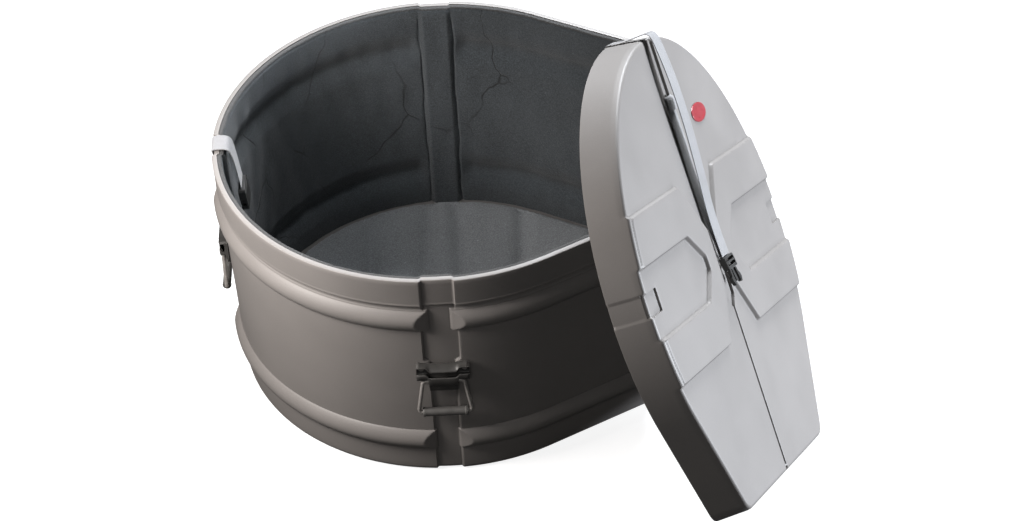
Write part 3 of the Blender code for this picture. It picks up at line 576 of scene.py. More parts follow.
def tub_inside(z, s, depth):
    """The shell's inner side, or a surface parallel to it."""
    reach = channel_reach(s)
    rib = 0.85 * rib_height(z) * smooth((reach - 0.022) / 0.022)
    channel = CHANNEL_DEPTH * smooth((0.027 - reach) / 0.004 + 0.5)
    return draft(z) - GROOVE + rib - channel - depth


def rib_levels(steps):
    return [top - RIB_HEIGHT * k / steps for top in RIB_TOPS for k in range(steps + 1)]


def body_shell():
    around = stations(0.0018, 0.006)
    turn = np.linspace(0.0, math.pi / 2, 7)
    base_z = BASE_RADIUS * (1 - np.cos(turn))
    base_in = BASE_RADIUS * (1 - np.sin(turn))
    rim_detail = np.arange(RIB_TOPS[0] + 0.0012, RIM_LOW + 0.008, 0.0012)
    edges = [z + d for top in RIB_TOPS for z in (top, top - RIB_HEIGHT) for d in (-0.0012, 0.0012)]
    plain = np.arange(BASE_RADIUS, TUB_HEIGHT - 0.004, 0.009)
    around_end = np.arange(CHANNEL_END - 0.002, CHANNEL_END + 0.012, 0.002)
    heights = np.unique(np.round(np.concatenate(
        [plain[1:], rib_levels(20), edges, rim_detail, around_end, [TUB_HEIGHT - 0.0012]]), 5))
    outer_z = np.concatenate([base_z, heights, [TUB_HEIGHT - 0.0004, TUB_HEIGHT]])
    inset = np.concatenate([base_in, 0 * heights, [0.0005, 0.0013]])
    outside = tub_outside(np.maximum(outer_z, 0.002)[:, None], around[None]) - inset[:, None]
    inner_z = np.concatenate([[TUB_HEIGHT, TUB_HEIGHT - 0.0005, TUB_HEIGHT - 0.0015],
                              sorted(rib_levels(5), reverse=True), [0.02, FLOOR]])
    inner_push = np.concatenate([[-0.0012, -0.0003], np.zeros(len(inner_z) - 2)])
    inside = tub_inside(inner_z[:, None], around[None], WALL) + inner_push[:, None]
    rings = list(rings_of(around, outer_z, outside)) + list(rings_of(around, inner_z, inside))
    piece = loft("tub_shell", rings, PLASTIC, sharp=40)
    settle(piece, "tub", "shell_plastic", "body_shell")


def ripples(z, s, amount, count=26):
    """Soft irregular waves in fabric, the same at every run."""
    total = np.zeros(np.broadcast(z, s).shape)
    for _ in range(count):
        along = 2 * math.pi * round(RANDOM.uniform(6, 60)) / (2 * HALF_LENGTH)
        up = 2 * math.pi / RANDOM.uniform(0.06, 0.35) * RANDOM.choice([-1, 1])
        total += np.sin(along * s + up * z + RANDOM.uniform(0, 2 * math.pi))
    return total * amount / math.sqrt(count)


def creases(z, s):
    """Where the fabric is pulled in: beside the channel bands and along the ribs' upper and lower sides."""
    reach = channel_reach(s)
    waver = 0.0012 * np.sin(31.0 * z + 9.0 * s) + 0.0008 * np.sin(83.0 * z + 5.0)
    crease = 0.0036 * np.exp(-((reach - 0.031 + waver) / 0.0018) ** 2)
    for top in RIB_TOPS:
        for edge in (top + 0.006, top - RIB_HEIGHT - 0.006):
            crease = crease + 0.0024 * np.exp(-((z - edge) / 0.004) ** 2) * smooth((reach - 0.03) / 0.02)
    return crease


def wall_lining():
    """One closed jacket of padding: stiff outside against the shell, soft and rippled inside."""
    around = stations(0.0018, 0.006, near=0.038)
    reach = channel_reach(around)
    top, low = TUB_HEIGHT - 0.0050, FLOOR + GAP
    outer_z = np.concatenate([[low], sorted(rib_levels(5)), [top]])
    outer = tub_inside(outer_z[:, None], around[None], WALL + GAP)
    inner_z = np.linspace(top - 0.002, low, 76)
    soft_rib = 0.85 * rib_height(inner_z[:, None], 0.006, 1.15) * smooth((reach - 0.026) / 0.030)
    band = (CHANNEL_DEPTH + 0.0015) * smooth((0.026 - reach) / 0.009 + 0.5)
    inner = draft(inner_z)[:, None] - GROOVE + soft_rib - band[None] - (WALL + GAP + LINING)
    calm_top = smooth((top - inner_z) / 0.035)[:, None]
    calm_low = smooth((inner_z - low) / 0.04)[:, None]
    waves = ripples(inner_z[:, None], around[None], 0.0009)
    inner = inner + waves * calm_top * (0.4 + 0.6 * calm_low)
    inner = inner + creases(inner_z[:, None], around[None]) * calm_top
    inner = inner - 0.0012 * np.sin(math.pi * np.clip((inner_z - 0.11) / 0.22, 0, 1))[:, None]
    rings = [*rings_of(around, outer_z, outer), *rings_of(around, [top], inner[:1] + 0.002),
             *rings_of(around, inner_z, inner)]
    piece = loft("wall_lining", rings, LINING_CLOTH, hollow=True, sharp=60)
    settle(piece, "tub", "lining_fabric", "body_wall_lining")


def lining_edge():
    """The cut edge of the padding's foam, a thin strip inside the rim."""
    around = stations(0.003, 0.006)
    high = TUB_HEIGHT - 0.0012
    profile = [(0.0012, -0.0030), (0.0012, -0.0006), (0.0020, 0.0), (0.0074, 0.0), (0.0086, -0.0008),
               (0.0088, -0.0030)]
    wobble = ripples(np.array([[0.0]]), around[None], 0.0004, 12)[0]
    base = tub_inside(np.array([[TUB_HEIGHT]]), around[None], WALL)[0]
    rings = []
    for k, (depth, rise) in enumerate(profile):
        sway = wobble * (1 if k > 2 else 0)
        rings.append(rings_of(around, [high + rise], (base - depth + sway)[None])[0])
    piece = loft("lining_foam_edge", rings, FOAM_EDGE, hollow=True, sharp=70)
    settle(piece, "tub", "lining_fabric")


# ---------- pads made by cloth simulation

PAD_CREASES = (-0.147, -0.040, 0.020, 0.133)
VOXEL = 0.006
PRESSURE = 4.0
FRAMES = 20


def evaluated_mesh(piece):
    graph = bpy.context.evaluated_depsgraph_get()
    return bpy.data.meshes.new_from_object(piece.evaluated_get(graph), depsgraph=graph)


def bake_modifiers(piece):
    mesh = evaluated_mesh(piece)
    piece.modifiers.clear()
    piece.data = mesh


def inflate(piece, pinned, cap):
    """Puffs up a closed pad with Blender's cloth solver; pinned(points) says which points are sewn down."""
    remesh = piece.modifiers.new("remesh", "REMESH")
    remesh.mode = "VOXEL"
    remesh.voxel_size = VOXEL
    bake_modifiers(piece)
    start = coordinates(piece.data)
    group = piece.vertex_groups.new(name="sewn")
    held = np.nonzero(pinned(start))[0]
    group.add(held.tolist(), 1.0, "REPLACE")
    cloth = piece.modifiers.new("cloth", "CLOTH")
    cloth.settings.vertex_group_mass = "sewn"
    cloth.settings.use_pressure = True
    cloth.settings.uniform_pressure_force = PRESSURE
    cloth.settings.effector_weights.gravity = 0.0
    cloth.point_cache.frame_end = FRAMES
    for number in range(1, FRAMES + 1):
        bpy.context.scene.frame_set(number)
        bpy.context.view_layer.update()
    moved = evaluated_mesh(piece)
    step = coordinates(moved) - start
    bpy.data.meshes.remove(moved)
    piece.modifiers.clear()
    bpy.context.scene.frame_set(1)
    length = np.linalg.norm(step, axis=1, keepdims=True)
    step = step * np.minimum(1.0, cap / np.maximum(length, 1e-9))
    piece.data.vertices.foreach_set("co", (start + step).ravel())
    subdivision = piece.modifiers.new("subdivision", "SUBSURF")
    subdivision.levels = 1
    subdivision.render_levels = 1
    bake_modifiers(piece)
    piece.data.shade_smooth()


def pad_slab(name, inset, low, high, material):
    """A flat D-shaped slab with softened edges, to be puffed up."""
    around = stations(0.012, 0.012)
    heights = [low, low + 0.0015, high - 0.0035, high]
    offsets = np.array([inset - 0.003, inset, inset, inset - 0.0035])[:, None]
    return loft(name, rings_of(around, heights, offsets), material, sharp=180)


def floor_pad():
    """Quilted floor cushion, tacked down along four lines across the case."""
    inset = draft(0.0) - GROOVE - WALL - LINING - CHANNEL_DEPTH - 0.0075
    low, high = FLOOR + GAP + 0.001, 0.0175
    piece = pad_slab("floor_pad", inset, low, high, PAD_CLOTH)

    def sewn(points):
        lines = np.min([np.abs(points[:, 0] - x) for x in PAD_CREASES], axis=0)
        return (lines < 0.0045) | (points[:, 2] < low + 0.003)

    inflate(piece, sewn, 0.006)
    points = coordinates(piece.data)
    swayed = [x + 0.007 * np.sin(9 * points[:, 1] + 40 * x) for x in PAD_CREASES]
    lines = np.min([np.abs(points[:, 0] - x) for x in swayed], axis=0)
    upper = smooth((points[:, 2] - 0.012) / 0.004)
    points[:, 2] -= 0.0078 * np.exp(-(lines / 0.017) ** 2) * upper
    points[:, 2] += ripples(points[:, 1] * 0.6, points[:, 0] * 1.6, 0.0003, 18) * upper
    piece.data.vertices.foreach_set("co", points.ravel())
    settle(piece, "tub", "pad_fabric", "body_floor_pad")


def lid_pad():
    """The cushion on the inside of the lid, with one tacked cross in its middle."""
    high = LID_DEPTH - LID_FACE - GAP
    piece = pad_slab("lid_pad", -0.027, high - 0.0065, high - 0.0004, LINING_CLOTH)

    def sewn(points):
        cross = np.minimum(np.abs(points[:, 0]), np.abs(points[:, 1])) < 0.0045
        return cross | (points[:, 2] > high - 0.003)

    inflate(piece, sewn, 0.005)
    piece.data.transform(LID)
    settle(piece, "lid", "lining_fabric", "lid_face_pad")


# ---------- lid

def lid_matrix():
    """The lid's frame: its strap's hinge runs across it, and its tipping hinge lies level in its plane."""
    hinge = JOINTS["lid_strap_swing"]
    across = -Vector(hinge["axis"]).normalized()
    normal = across.cross(Vector(JOINTS["lid_tip"]["axis"])).normalized()
    along = across.cross(normal)
    turned = Matrix((along, across, normal)).transposed()
    centre = Vector(hinge["pos_m"]) - turned @ Vector((STRAP_CREST[0], 0.0, STRAP_CREST[1]))
    return Matrix.Translation(centre) @ turned.to_4x4()


LID = lid_matrix()


def mirrored(points):
    """The same polygon across the lid's middle line, still turning the same way."""
    return [(u, -v) for u, v in reversed(points)]


def side_distance(points, polygon):
    """Signed distance to a closed polygon, positive inside."""
    corners = np.array(polygon)
    ends = np.roll(corners, -1, axis=0)
    nearest = np.full(len(points), 1e9)
    crossings = np.zeros(len(points), bool)
    for start, end in zip(corners, ends):
        edge = end - start
        share = np.clip(((points - start) @ edge) / max(edge @ edge, 1e-12), 0.0, 1.0)
        nearest = np.minimum(nearest, np.linalg.norm(points - start - share[:, None] * edge, axis=1))
        spans = (start[1] > points[:, 1]) != (end[1] > points[:, 1])
        rise = edge[1] if edge[1] != 0 else 1e-12
        crossings ^= spans & (points[:, 0] < start[0] + edge[0] * (points[:, 1] - start[1]) / rise)
    return np.where(crossings, nearest, -nearest)


LID_EDGE = outline(stations(0.004, 0.004))[0].tolist()
FEATURES = {
    "panel": (rounded(PANEL, 0.009), PANEL_SLOPE),
    "pocket": (rounded(POCKET, 0.010), PANEL_SLOPE),
    "notch": (rounded(NOTCH, 0.0022, 2), NOTCH_SLOPE),
}
FEATURES = {(name, sign): (shape if sign > 0 else mirrored(shape), width)
            for name, (shape, width) in FEATURES.items() for sign in (1, -1)}
CHANNEL_EDGE = rounded(STRAP_CHANNEL, 0.0020, 2)


def feature_share(points, feature, sign):
    """1 inside a feature, 0 outside it, and a soft step between."""
    polygon, width = FEATURES[feature, sign]
    return smooth(side_distance(points, polygon) / width + 0.5)


def face_height(points):
    """Height of the lid's outer face above its plain level, at (u, v) points."""
    shoulder = smooth((side_distance(points, LID_EDGE) - 0.0010) / 0.0105)
    height = np.zeros(len(points))
    for sign in (1, -1):
        rise = np.minimum(feature_share(points, "panel", sign), shoulder)
        height += PANEL_RISE * rise * (1 - feature_share(points, "pocket", sign))
        height -= NOTCH_SINK * feature_share(points, "notch", sign)
    return height - STRAP_SINK * smooth(side_distance(points, CHANNEL_EDGE) / STRAP_SLOPE + 0.5)


def rows_beside(polygon, width, rows=(-0.65, -0.4, -0.15, 0.15, 0.4, 0.65)):
    """Lines of points along a polygon, a little inside and outside it, where its slope lies."""
    corners = np.array(polygon)
    dense = []
    for start, end in zip(corners, np.roll(corners, -1, axis=0)):
        steps = max(1, round(np.linalg.norm(end - start) / 0.006))
        dense += [start + (end - start) * k / steps for k in range(steps)]
    dense = np.array(dense)
    tangent = np.roll(dense, -1, axis=0) - np.roll(dense, 1, axis=0)
    tangent /= np.maximum(np.linalg.norm(tangent, axis=1, keepdims=True), 1e-9)
    normal = np.stack([tangent[:, 1], -tangent[:, 0]], -1)
    return [dense + normal * width * row for row in rows]


def face_sheet(edge):
    """Triangles over the lid's face: dense lines along every feature, wide ones on the plain parts."""
    points = [tuple(p) for p in edge]
    count = len(edge)
    links = [(k, (k + 1) % count) for k in range(count)]
    for depth in (0.0012, 0.0024, 0.0038, 0.0052, 0.0068, 0.0090):
        places, normals = outline(stations(0.004, 0.005))
        points += [tuple(p) for p in places + normals * (LID_OUTER - LID_DRAFT - EDGE_RADIUS - depth)]
    lines = [row for polygon, width in FEATURES.values() for row in rows_beside(polygon, width)]
    lines += rows_beside(CHANNEL_EDGE, STRAP_SLOPE)
    for line in lines:
        keep = side_distance(line, edge) > 0.0012
        before = None
        for place, kept in zip(line, keep):
            if not kept:
                before = None
                continue
            points.append(tuple(place))
            if before is not None:
                links.append((before, len(points) - 1))
            before = len(points) - 1
    grid = np.arange(-0.40, 0.40, 0.012)
    u, v = np.meshgrid(grid + 0.0003, grid + 0.0007)
    places = np.stack([u.ravel(), v.ravel()], -1)
    places = places[side_distance(places, edge) > 0.010]
    points += [tuple(p) for p in places]
    found = delaunay_2d_cdt([Vector(p) for p in points], links, [], 1, 1e-5)
    return np.array([tuple(p) for p in found[0]]), [tuple(face) for face in found[2]]


def lid_skirt_recess(distances, z):
    """The strap bands down the skirt, in line with the notches and the centre channel."""
    points = outline(distances)[0]
    u, v = points[:, 0], points[:, 1]
    middle = (NOTCH[0][0] + NOTCH[1][0]) / 2
    half = (NOTCH[1][0] - NOTCH[0][0]) / 2
    side_band = smooth((half - np.abs(u - middle)) / 0.0012 + 0.5) * (np.abs(v) > 0.2)
    end_band = smooth((0.021 - np.abs(v)) / 0.0012 + 0.5) * (u < 0)
    return SKIRT_SINK * np.maximum(side_band, end_band)[None] + 0 * z


def skirt_offset(z):
    """How far the skirt's outer side lies outside the D."""
    return LID_OUTER - LID_DRAFT * z / LID_DEPTH


def skirt_rings(around):
    """Rings up the skirt's outer side and over the rounded edge, which follows the face's height."""
    heights = np.array([0.0, 0.0006, 0.004, 0.010, 0.016, 0.024, 0.032, 0.040, 0.048, 0.054])
    push = np.where(heights == 0.0, -0.0008, 0.0)
    recess = lid_skirt_recess(around, heights[:, None])
    rings = list(rings_of(around, heights, (skirt_offset(heights) + push)[:, None] - recess))
    top = skirt_offset(LID_DEPTH)
    edge_ring = rings_of(around, [LID_DEPTH], np.array([[top - EDGE_RADIUS]]))[0]
    lift = face_height(edge_ring[:, :2])
    for turn in np.linspace(0.0, math.pi / 2, 7):
        offset = top - EDGE_RADIUS * (1 - math.cos(turn)) - recess[0] * math.cos(turn)
        ring = rings_of(around, [0.0], offset[None])[0]
        ring[:, 2] = LID_DEPTH - EDGE_RADIUS * (1 - math.sin(turn)) + lift
        rings.append(ring)
    return rings


def lid_shell():
    """Skirt, rounded edge and sculpted face as one closed pan."""
    around = stations(0.0024, 0.0024)
    count = len(around)
    inner_z = np.array([0.0, 0.0006, 0.02, 0.04, LID_DEPTH - LID_FACE - 0.003, LID_DEPTH - LID_FACE])
    inner_push = np.array([0.0008, 0.0, 0.0, 0.0, 0.0, -0.003])
    inside = rings_of(around, inner_z, (skirt_offset(inner_z) - LID_WALL + inner_push)[:, None])
    outside = skirt_rings(around)
    walls = list(inside[::-1]) + outside
    faces = ring_faces(len(walls), count)

    sheet, triangles = face_sheet(outside[-1][:, :2])
    face = np.column_stack([sheet, LID_DEPTH + face_height(sheet)])
    start = len(walls) * count
    faces += [tuple(start + k for k in triangle) for triangle in triangles]

    middle = inside[-1].mean(axis=0)
    ceiling = [middle + (inside[-1] - middle) * share for share in (1.0, 0.92, 0.7, 0.4, 0.1)]
    start += len(face)
    faces += ring_faces(len(ceiling), count, start)
    last = start + (len(ceiling) - 1) * count
    faces += [(last + k, last + (k + 1) % count, last + count) for k in range(count)]

    vertices = np.concatenate([*walls, face, *ceiling, [middle]])
    piece = make_object("lid_pan", vertices, faces, PLASTIC, sharp=50, matrix=LID)
    settle(piece, "lid", "shell_plastic", "lid_shell")


def lid_badge():
    """A plain domed badge with a rolled rim and no mark on it."""
    to_lid = LID.inverted()
    corners = np.array([to_lid @ vertex.co for vertex in frame["nodes"]["lid_badge"].data.vertices])
    lowest, highest = corners.min(axis=0), corners.max(axis=0)
    middle = (lowest + highest) / 2
    half = (highest - lowest) / 2
    turn = np.linspace(0.0, 2 * math.pi, 72, endpoint=False)
    oval = np.stack([half[0] * np.cos(turn), half[1] * np.sin(turn)], -1)
    profile = [(1.0, -1.0), (1.0, 0.35), (0.985, 0.75), (0.95, 0.95), (0.90, 0.98), (0.865, 0.78),
               (0.84, 0.55), (0.80, 0.52), (0.5, 0.66), (0.2, 0.72)]
    rings = []
    for share, rise in profile:
        scale = (half[:2] - half.max() * (1 - share)) / half[:2]
        rings.append(np.column_stack([middle[:2] + oval * scale,
                                      np.full(len(oval), middle[2] + rise * half[2])]))
    piece = loft("badge", rings, ENAMEL, sharp=60, matrix=LID)
    settle(piece, "lid", "badge_red", "lid_badge")


# ---------- webbing

def ribbon(name, path, sway=None, matrix=None):
    """Woven strap with thick selvedges along (x, z) points, its width along y; sway shifts it sideways."""
    across = np.array([-1.0, -0.985, -0.93, -0.86, -0.5, 0.0, 0.5, 0.86, 0.93, 0.985, 1.0])
    thick = np.array([0.30, 0.80, 1.0, 0.86, 0.84, 0.84, 0.84, 0.86, 1.0, 0.80, 0.30])
    path = np.array([tuple(p) for p in path])
    ahead = np.gradient(path, axis=0)
    ahead /= np.linalg.norm(ahead, axis=1, keepdims=True)
    normal = np.stack([-ahead[:, 1], ahead[:, 0]], -1)
    length = np.concatenate([[0.0], np.cumsum(np.linalg.norm(np.diff(path, axis=0), axis=1))])
    vertices, uvs = [], []
    for place, out, run in zip(path, normal, length):
        shift = sway(run) if sway else 0.0
        for sign in (1, -1):
            order = range(len(across)) if sign > 0 else range(len(across) - 1, -1, -1)
            for m in order:
                lift = sign * thick[m] * WEB / 2
                vertices.append((place[0] + out[0] * lift, across[m] * WEB_WIDTH / 2 + shift,
                                 place[1] + out[1] * lift))
                uvs.append((across[m] / 2 + 0.5, run))
    count = 2 * len(across)
    faces = ring_faces(len(path), count)
    faces.append(tuple(range(count)))
    faces.append(tuple(range((len(path) - 1) * count, len(path) * count)))
    piece = make_object(name, vertices, faces, WEBBING, sharp=60, matrix=matrix)
    layer = piece.data.uv_layers.new(name="weave")
    for loop in piece.data.loops:
        layer.data[loop.index].uv = uvs[loop.vertex_index]
    return piece


def skirt_x(z):
    """The skirt's outer side at the round end, in the lid's frame."""
    return -(ROUND_RADIUS + skirt_offset(z))


def lid_strap():
    """One strap from its rivet inside the skirt, round the open rim and over the crest to the buckle."""
    off = WEB / 2 + 0.0004

    def inside_x(z):
        return skirt_x(z) + LID_WALL + off + 0.0014

    under = (skirt_x(0.0) + inside_x(0.0)) / 2
    held = [(inside_x(0.040), 0.040), (inside_x(0.020), 0.020), (inside_x(0.004), 0.004),
            (inside_x(0.0) - 0.0003, -0.0003), (under + 0.0006, -0.0024), (under - 0.0018, -0.0022),
            (skirt_x(0.0) - 0.0013, -0.0003), (skirt_x(0.004) - off, 0.004), (skirt_x(0.020) - off, 0.020),
            (-0.3850, 0.040), (-0.3862, 0.054), (-0.3868, 0.063)]
    path = spline(held + STRAP_PATH, 0.003)
    piece = ribbon("lid_strap", path, sway=lambda run: 0.0012 * math.sin(run * 21.0), matrix=LID)
    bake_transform(piece)
    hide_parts("lid_strap_anchor_end", "lid_strap_web")
    tail = ribbon("lid_strap_loose_tail", spline(TAIL_PATH, 0.003),
                  sway=lambda run: 0.0020 * math.sin(run * 17.0 + 1.0), matrix=LID)
    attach(tail, "lid_strap")
    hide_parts("lid_strap_tail")


def short_strap():
    """The tub's strap: riveted in the round end's channel, thrown over the rim into the tub."""
    anchor = coordinates(frame["nodes"]["short_strap_anchor_end"].data)
    rim = TUB_HEIGHT
    crest = JOINTS["short_strap_flip"]["pos_m"]

    def wall_x(z):
        step = GROOVE if z < RIM_LOW - 0.004 else 0.0
        return -(ROUND_RADIUS + draft(z) - step - 0.004)

    off = WEB / 2 + 0.0005
    heights = (anchor[:, 2].min(), 0.30, 0.33, RIM_LOW - 0.018, RIM_LOW - 0.003, 0.41, rim - 0.006)
    held = [(wall_x(z) - off, z) for z in heights]
    free = [(crest[0] + 0.0010, rim + 0.0022), (-0.3745, rim + 0.0040), (-0.3660, rim + 0.0046),
            (-0.3560, rim + 0.0036), (-0.3485, rim - 0.0030), (-0.3445, rim - 0.020),
            (-0.3415, rim - 0.045), (-0.3370, rim - 0.084)]
    piece = ribbon("short_strap", spline(held + free, 0.003), sway=lambda run: 0.0010 * math.sin(run * 30.0))
    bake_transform(piece)
    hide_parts("short_strap_anchor_end", "short_strap_web")


# ---------- handles

def wire_loop(name, path, radius, material, up, matrix):
    """A round wire along a closed flat path whose plane has the normal up."""
    rings = []
    for i, point in enumerate(path):
        ahead = (path[(i + 1) % len(path)] - path[i - 1]).normalized()
        side = ahead.cross(up).normalized()
        other = side.cross(ahead)
        rings.append([tuple(point + radius * (math.cos(a) * side + math.sin(a) * other))
                      for a in np.linspace(0, 2 * math.pi, 16, endpoint=False)])
    return loft(name, rings, material, hollow=True, sharp=60, matrix=matrix)


def bracket_section(x):
    """Cross-section (y, z) of the bracket at x: hood, recess, the lip that holds the wire, and plate."""
    size = abs(x)
    wing = float(smooth((size - 0.0200) / 0.0090))
    end = float(smooth((size - 0.0405) / 0.0035))
    hooked = float(smooth((0.0255 - size) / 0.0020))
    top = 0.0305 + 0.0050 * (x / 0.044) ** 2 - 0.003 * end
    lip = 0.0222 + 0.0085 * wing - 0.001 * end
    hood = 0.0066 - 0.0016 * wing - 0.0016 * end
    rise = top - lip
    low = 0.0100 + 0.0060 * wing
    shelf = 0.0068 - 0.0018 * wing - 0.0014 * end
    well = -0.0042 * hooked + (low - 0.0034) * (1 - hooked)
    under = 0.0048 - 0.0108 * hooked
    face = PLATE_FRONT + 0.0012
    foot = -0.0050 - 0.0235 * hooked
    section = [(PLATE_BACK, top - 0.001), (-0.0060, top), (-0.0035, top - 0.0006),
               (0.5 * hood - 0.0015, top - 0.30 * rise), (hood - 0.0012, lip + 0.38 * rise),
               (hood - 0.0002, lip + 0.0016), (hood, lip + 0.0008), (hood - 0.0004, lip + 0.0001),
               (hood - 0.0012, lip), (hood - 0.0032, lip + 0.0003), (-0.0042, lip - 0.0002),
               (-0.0050, lip - 0.0014), (-0.0050, well + 0.0022), (-0.0040, well + 0.0006), (-0.0012, well),
               (shelf - 0.0036, well + 0.0006), (shelf - 0.0024, min(well + 0.0036, low - 0.0014)),
               (shelf - 0.0022, low - 0.0009), (shelf - 0.0014, low), (shelf - 0.0004, low - 0.0003),
               (shelf, low - 0.0012), (shelf - 0.0002, under + 0.0010), (shelf - 0.0012, under),
               (face, under - 0.0010)]
    for share in np.linspace(0.0, 1.0, 10)[1:]:
        z = under - 0.0010 + (foot + 0.0012 - under + 0.0010) * share
        oval = math.hypot(x / 0.019, (z + 0.0178) / 0.0056)
        section.append((face + 0.0008 * math.exp(-((oval - 1.0) / 0.16) ** 2), z))
    return section + [(face - 0.0010, foot + 0.0002), (face - 0.0022, foot), (PLATE_BACK, foot)]


def handle_bracket(name, place):
    steps = (0.0225, 0.0235, 0.0245, 0.0255, 0.0265, 0.0438)
    places = [*np.linspace(-0.044, 0.044, 49), *steps, *(-x for x in steps)]
    rings = [[(x, y, z) for y, z in bracket_section(x)] for x in np.unique(np.round(places, 5))]
    return loft(name, rings, BRACKET_PLASTIC, sharp=50, matrix=place)


def handle_bail(name, place):
    """The wire, wider at its foot than at the bracket."""
    top, foot = BAIL_TOP / 2, BAIL_BOTTOM / 2
    corners = [(-top, 0.0), (top, 0.0), (foot, -BAIL_DROP), (-foot, -BAIL_DROP)]
    wire = [Vector((x, 0.0, z)) for x, z in rounded(corners, 0.0065, 7)]
    return wire_loop(name, wire, BAIL_RADIUS, STEEL, Vector((0, 1, 0)), place)


def handle_grip(name, place):
    """The sleeve on the wire's foot, with a collar at each end and a flatter back."""
    half = BAIL_BOTTOM / 2 - 0.0070
    ends = [(0.0, 0.0034), (0.0, GRIP_RADIUS - 0.0014), (0.0005, GRIP_RADIUS - 0.0004),
            (0.0016, GRIP_RADIUS), (0.0045, GRIP_RADIUS), (0.0052, GRIP_RADIUS - 0.0006),
            (0.0060, GRIP_RADIUS - 0.0006)]
    profile = [(step - half, radius) for step, radius in ends]
    profile += [(half - step, radius) for step, radius in reversed(ends)]
    turn = np.linspace(0, 2 * math.pi, 24, endpoint=False)
    out = np.where(np.cos(turn) > -0.6, np.cos(turn), 0.93 * np.cos(turn))
    rings = [np.column_stack([np.full(len(turn), x), radius * out, radius * np.sin(turn) - BAIL_DROP])
             for x, radius in profile]
    return loft(name, rings, RUBBER, hollow=True, sharp=40, matrix=place)


def handle(side, body):
    """Bracket on the tub; wire bail and its grip on their own body. Frame: x along the wall, y out, z up."""
    pivot = Vector(JOINTS[f"handle_{side}_swing"]["pos_m"])
    up = Vector((0, 0, 1))
    out = Vector((pivot.x, pivot.y, 0.0)).normalized()
    place = Matrix.Translation(pivot) @ Matrix((out.cross(up), out, up)).transposed().to_4x4()
    bracket = handle_bracket(f"{side}_bracket", place)
    settle(bracket, "tub", "hardware_plastic", f"handle_{side}_bracket")
    bail = handle_bail(f"{side}_bail_wire", place)
    settle(bail, body, "hardware_steel", f"handle_{side}_bail")
    grip = handle_grip(f"{side}_grip_sleeve", place)
    settle(grip, body, "grip_rubber", f"handle_{side}_grip")


# ---------- small hardware kept from the frame

def dress_node(name, material, bevel):
    """A CAD node that is shown as it is, with softened edges and a better material."""
    node = frame["nodes"][name]
    node.data.materials.clear()
    node.data.materials.append(material)
    step = node.modifiers.new("edges", "BEVEL")
    step.width = bevel
    step.segments = 2
    step.limit_method = "ANGLE"
    step.angle_limit = math.radians(35)


def dress_hardware():
    for name in frame["nodes"]:
        if name.startswith("buckle_"):
            dress_node(name, HARDWARE, 0.0006)
        elif "rivet" in name or name.endswith("_plate"):
            dress_node(name, STEEL, 0.0003)


# ---------- floor, light and camera

def floor():
    """Plain pale floor. It looks near white to the camera, and throws little light back on the case."""
    made, tree, shader = new_material("studio_floor")
    tree.nodes.remove(shader)
    place = metres(tree)
    seen = add_node(tree, "ShaderNodeLightPath").outputs["Is Camera Ray"]
    grain = noise(tree, place, 3.0, 3.0)
    glow = add_node(tree, "ShaderNodeEmission", {"Color": (1.0, 1.0, 1.0, 1.0), "Strength": 0.86})
    pale = add_node(tree, "ShaderNodeBsdfDiffuse",
                    {"Color": blend_colours(tree, span(tree, grain, 0.0, 1.0), grey(0.30), grey(0.32))})
    both = add_node(tree, "ShaderNodeAddShader")
    tree.links.new(glow.outputs[0], both.inputs[0])
    tree.links.new(pale.outputs[0], both.inputs[1])
    dim = add_node(tree, "ShaderNodeBsdfDiffuse", {"Color": grey(0.04)})
    mix = add_node(tree, "ShaderNodeMixShader", {0: seen})
    tree.links.new(dim.outputs[0], mix.inputs[1])
    tree.links.new(both.outputs[0], mix.inputs[2])
    tree.links.new(mix.outputs[0], tree.nodes["Material Output"].inputs["Surface"])
    half = 30.0
    corners = [(-half, -half, 0), (half, -half, 0), (half, half, 0), (-half, half, 0)]
    mesh = bpy.data.meshes.new("studio_floor")
    mesh.from_pydata(corners, [], [(0, 1, 2, 3)])
    mesh.materials.append(made)
    piece = bpy.data.objects.new("studio_floor", mesh)
    piece.location.z = CAD_BOX[0].z - 0.0005
    bpy.context.scene.collection.objects.link(piece)


def world(strength):
    made = bpy.data.worlds.new("studio")
    bpy.context.scene.world = made
    made.use_nodes = True
    tree = made.node_tree
    seen = add_node(tree, "ShaderNodeLightPath").outputs["Is Camera Ray"]
    colour = blend_colours(tree, seen, (strength, strength, strength * 1.03, 1.0), (1.0, 1.0, 1.0, 1.0))
    tree.links.new(colour, tree.nodes["Background"].inputs["Color"])


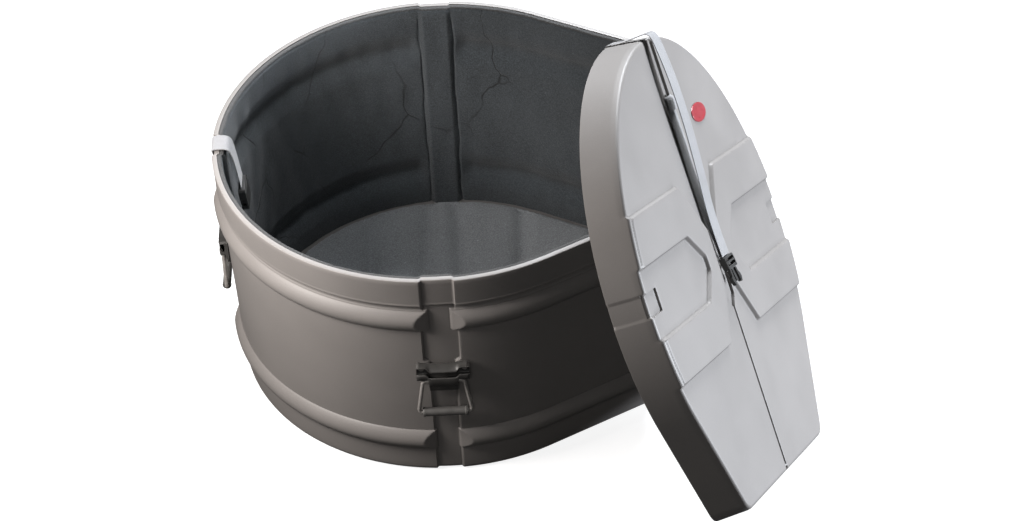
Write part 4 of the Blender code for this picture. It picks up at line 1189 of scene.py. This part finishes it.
def soft_light(name, place, target, size, watts, colour):
    """A round soft box at place, aimed at target."""
    data = bpy.data.lights.new(name, "AREA")
    data.shape = "DISK"
    data.size = size
    data.energy = watts
    data.color = colour
    made = bpy.data.objects.new(name, data)
    made.location = place
    made.rotation_mode = "QUATERNION"
    made.rotation_quaternion = (Vector(target) - Vector(place)).to_track_quat("-Z", "Y")
    bpy.context.scene.collection.objects.link(made)


def overhead(place, watts):
    """A round pool of light straight down into the tub, too narrow to reach the lid."""
    data = bpy.data.lights.new("overhead", "SPOT")
    data.energy = watts
    data.spot_size = math.radians(54)
    data.spot_blend = 0.45
    data.shadow_soft_size = 0.10
    data.color = (0.96, 0.98, 1.0)
    made = bpy.data.objects.new("overhead", data)
    made.location = place
    bpy.context.scene.collection.objects.link(made)


def lights():
    lid = LID.translation
    tub = Vector((0.0, 0.0, 0.22))
    soft_light("key", lid + Vector((2.86, 0.13, 0.10)), lid, 0.8, 200.0, (0.885, 0.93, 1.0))
    soft_light("side", Vector((-0.85, -0.55, 0.95)), tub, 0.5, 23.0, (1.0, 0.94, 0.90))
    soft_light("fill", Vector((-0.3, -3.0, 2.2)), tub, 1.5, 12.0, (1.0, 0.97, 0.94))
    soft_light("back", lid + Vector((0.10, 0.75, 0.65)) * 3.0, lid, 1.4, 215.0, (0.93, 0.96, 1.0))
    overhead(Vector((-0.16, 0.02, 1.35)), 28.0)
    world(0.075)


def camera():
    """The view of the case from in front and well above."""
    data = bpy.data.cameras.new("camera")
    data.sensor_width = 36.0
    data.lens = 111.64
    made = bpy.data.objects.new("camera", data)
    yaw, pitch, roll = 0.0123, 0.7154, -0.0546
    turn = (Matrix.Rotation(yaw, 4, "Z") @ Matrix.Rotation(math.pi / 2 - pitch, 4, "X")
            @ Matrix.Rotation(roll, 4, "Z"))
    made.matrix_world = Matrix.Translation((0.1709, -4.2145, 3.8148)) @ turn
    bpy.context.scene.collection.objects.link(made)
    bpy.context.scene.camera = made
    bpy.context.scene.view_settings.view_transform = "Standard"


def main():
    body_shell()
    wall_lining()
    lining_edge()
    floor_pad()
    lid_shell()
    lid_pad()
    lid_badge()
    lid_strap()
    short_strap()
    for side, body in HANDLES.items():
        handle(side, body)
    dress_hardware()
    floor()
    lights()
    camera()


main()
bpy.context.view_layer.update()
